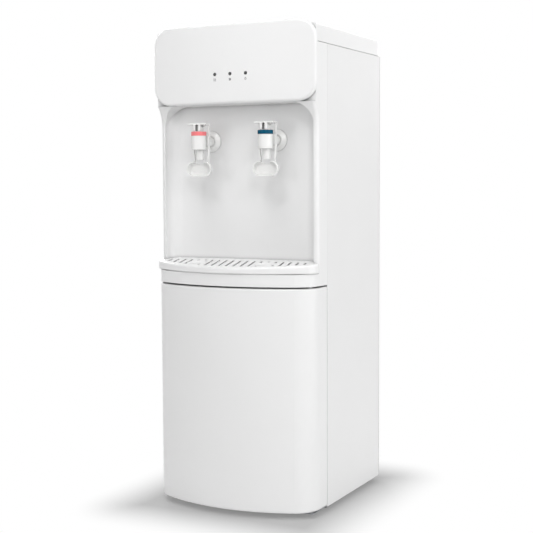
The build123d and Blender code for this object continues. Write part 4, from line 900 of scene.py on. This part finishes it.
# Floor, room and lamps
stageLook = {
    "floorHalf": 14.0,
    "floorColour": (0.82, 0.82, 0.82, 1),
    "seenColour": (0.36, 0.36, 0.36, 1),   # darker floor colour the camera sees near the object, a painted shadow on top of the real one
    "sideStretch": 1.15,         # over 1 the shadow ends sooner at the sides
    "fadeStart": -0.063,         # distance from the footprint where the floor turns white
    "fadeEnd": 0.141,
    "worldLight": 0.30,          # from the right; it falls to the left share at the left
    "leftShare": 0.35,
    "leftEnd": -1.0,             # sideways direction where the room is dimmest
    "rightEnd": 0.4,
}
lamps = {
    # place, target, size, watts
    "keyRight": ((1.7, -2.3, 1.9), (0.0, 0.0, 0.45), 1.3, 19.0),
    "farRight": ((2.6, -0.9, 1.3), (0.0, 0.0, 0.45), 1.6, 13.0),
    "sideRight": ((2.4, 0.3, 0.7), (0.0, 0.0, 0.4), 1.4, 10.5),
    "frontLeft": ((-1.2, -3.0, 1.3), (0.0, 0.0, 0.45), 1.6, 11.5),
    "highFront": ((0.2, -1.9, 2.5), (0.0, 0.0, 0.3), 0.9, 15.0),
    "steepFront": ((0.0, -0.8, 2.7), (0.0, 0.0, 0.3), 1.2, 15.0),
    "overhead": ((0.1, -0.2, 2.6), (0.0, 0.0, 0.6), 1.6, 3.0),
    "topRight": ((1.8, 0.2, 2.6), (0.0, 0.0, 0.45), 1.4, 4.0),
    "behind": ((0.2, 2.8, 1.4), (0.0, 0.0, 0.4), 1.6, 16.0),
    "rearLeft": ((-1.9, 2.1, 1.7), (0.0, 0.0, 0.4), 1.6, 44.0),
    "farLeft": ((-2.5, 0.8, 1.6), (0.0, 0.0, 0.4), 1.6, 7.0),
}


def seenRays(tree):
    # 1 for what the camera sees, directly or in a reflection or through glass.
    rays = addNode(tree, "ShaderNodeLightPath").outputs
    seen = calc(tree, "MAXIMUM", rays["Is Camera Ray"], rays["Is Glossy Ray"])
    return calc(tree, "MAXIMUM", seen, rays["Is Transmission Ray"])


def floorMaterial():
    # Near the object the floor is lit grey and holds the object's real shadow, deepened by
    # painted shadow: the colour the camera sees there is darker, and it fades to plain white
    # further from the footprint.
    material = bpy.data.materials.new("paleFloor")
    material.use_nodes = True
    tree = material.node_tree
    tree.nodes.clear()
    seen = seenRays(tree)
    lit = addNode(tree, "ShaderNodeBsdfDiffuse")
    feed(tree, lit, Color=mixColour(tree, seen, stageLook["floorColour"],
                                    stageLook["seenColour"]))
    low, high = cadBox
    past = calcVector(tree, "ABSOLUTE", objectPosition(tree))
    past = calcVector(tree, "SUBTRACT", past, (high.x, -low.y, 0))
    past = calcVector(tree, "MAXIMUM", past, (0, 0, 0))
    past = calcVector(tree, "MULTIPLY", past, (stageLook["sideStretch"], 1, 1))
    fade = addNode(tree, "ShaderNodeMapRange", interpolation_type="SMOOTHSTEP")
    feed(tree, fade, Value=calcVector(tree, "LENGTH", past), FromMin=stageLook["fadeStart"],
         FromMax=stageLook["fadeEnd"])
    white = addNode(tree, "ShaderNodeEmission")
    feed(tree, white, Color=(1, 1, 1, 1), Strength=1.0)
    blend = addNode(tree, "ShaderNodeMixShader")
    tree.links.new(calc(tree, "MULTIPLY", fade.outputs[0], seen), blend.inputs[0])
    tree.links.new(lit.outputs[0], blend.inputs[1])
    tree.links.new(white.outputs[0], blend.inputs[2])
    out = addNode(tree, "ShaderNodeOutputMaterial")
    tree.links.new(blend.outputs[0], out.inputs[0])
    return material


def makeFloor():
    mesh = bmesh.new()
    bmesh.ops.create_grid(mesh, x_segments=2, y_segments=2, size=stageLook["floorHalf"])
    data = bpy.data.meshes.new("floor")
    mesh.to_mesh(data)
    mesh.free()
    floor = bpy.data.objects.new("floor", data)
    bpy.context.scene.collection.objects.link(floor)
    data.materials.append(floorMaterial())


def makeWorld():
    # A white room that lights the object less from the left, as beside a dark card.
    world = bpy.data.worlds.new("studio")
    bpy.context.scene.world = world
    world.use_nodes = True
    tree = world.node_tree
    direction = addNode(tree, "ShaderNodeTexCoord").outputs["Generated"]
    light = addNode(tree, "ShaderNodeMapRange")
    feed(tree, light, Value=splitVector(tree, direction)["X"], FromMin=stageLook["leftEnd"],
         FromMax=stageLook["rightEnd"], ToMin=stageLook["worldLight"] * stageLook["leftShare"],
         ToMax=stageLook["worldLight"])
    strength = addNode(tree, "ShaderNodeMapRange")
    feed(tree, strength, Value=seenRays(tree), ToMin=light.outputs[0], ToMax=1.0)
    feed(tree, tree.nodes["Background"], Color=(1, 1, 1, 1), Strength=strength.outputs[0])


def makeLamps():
    for name, (place, target, size, watts) in lamps.items():
        data = bpy.data.lights.new(name, "AREA")
        data.shape = "DISK"
        data.size = size
        data.energy = watts
        lamp = bpy.data.objects.new(name, data)
        bpy.context.scene.collection.objects.link(lamp)
        lamp.location = place
        aim = Vector(target) - Vector(place)
        lamp.rotation_euler = aim.to_track_quat("-Z", "Y").to_euler()


makeFloor()
makeWorld()
makeLamps()
bpy.context.scene.view_settings.view_transform = "Standard"
print("stage and lamps set")
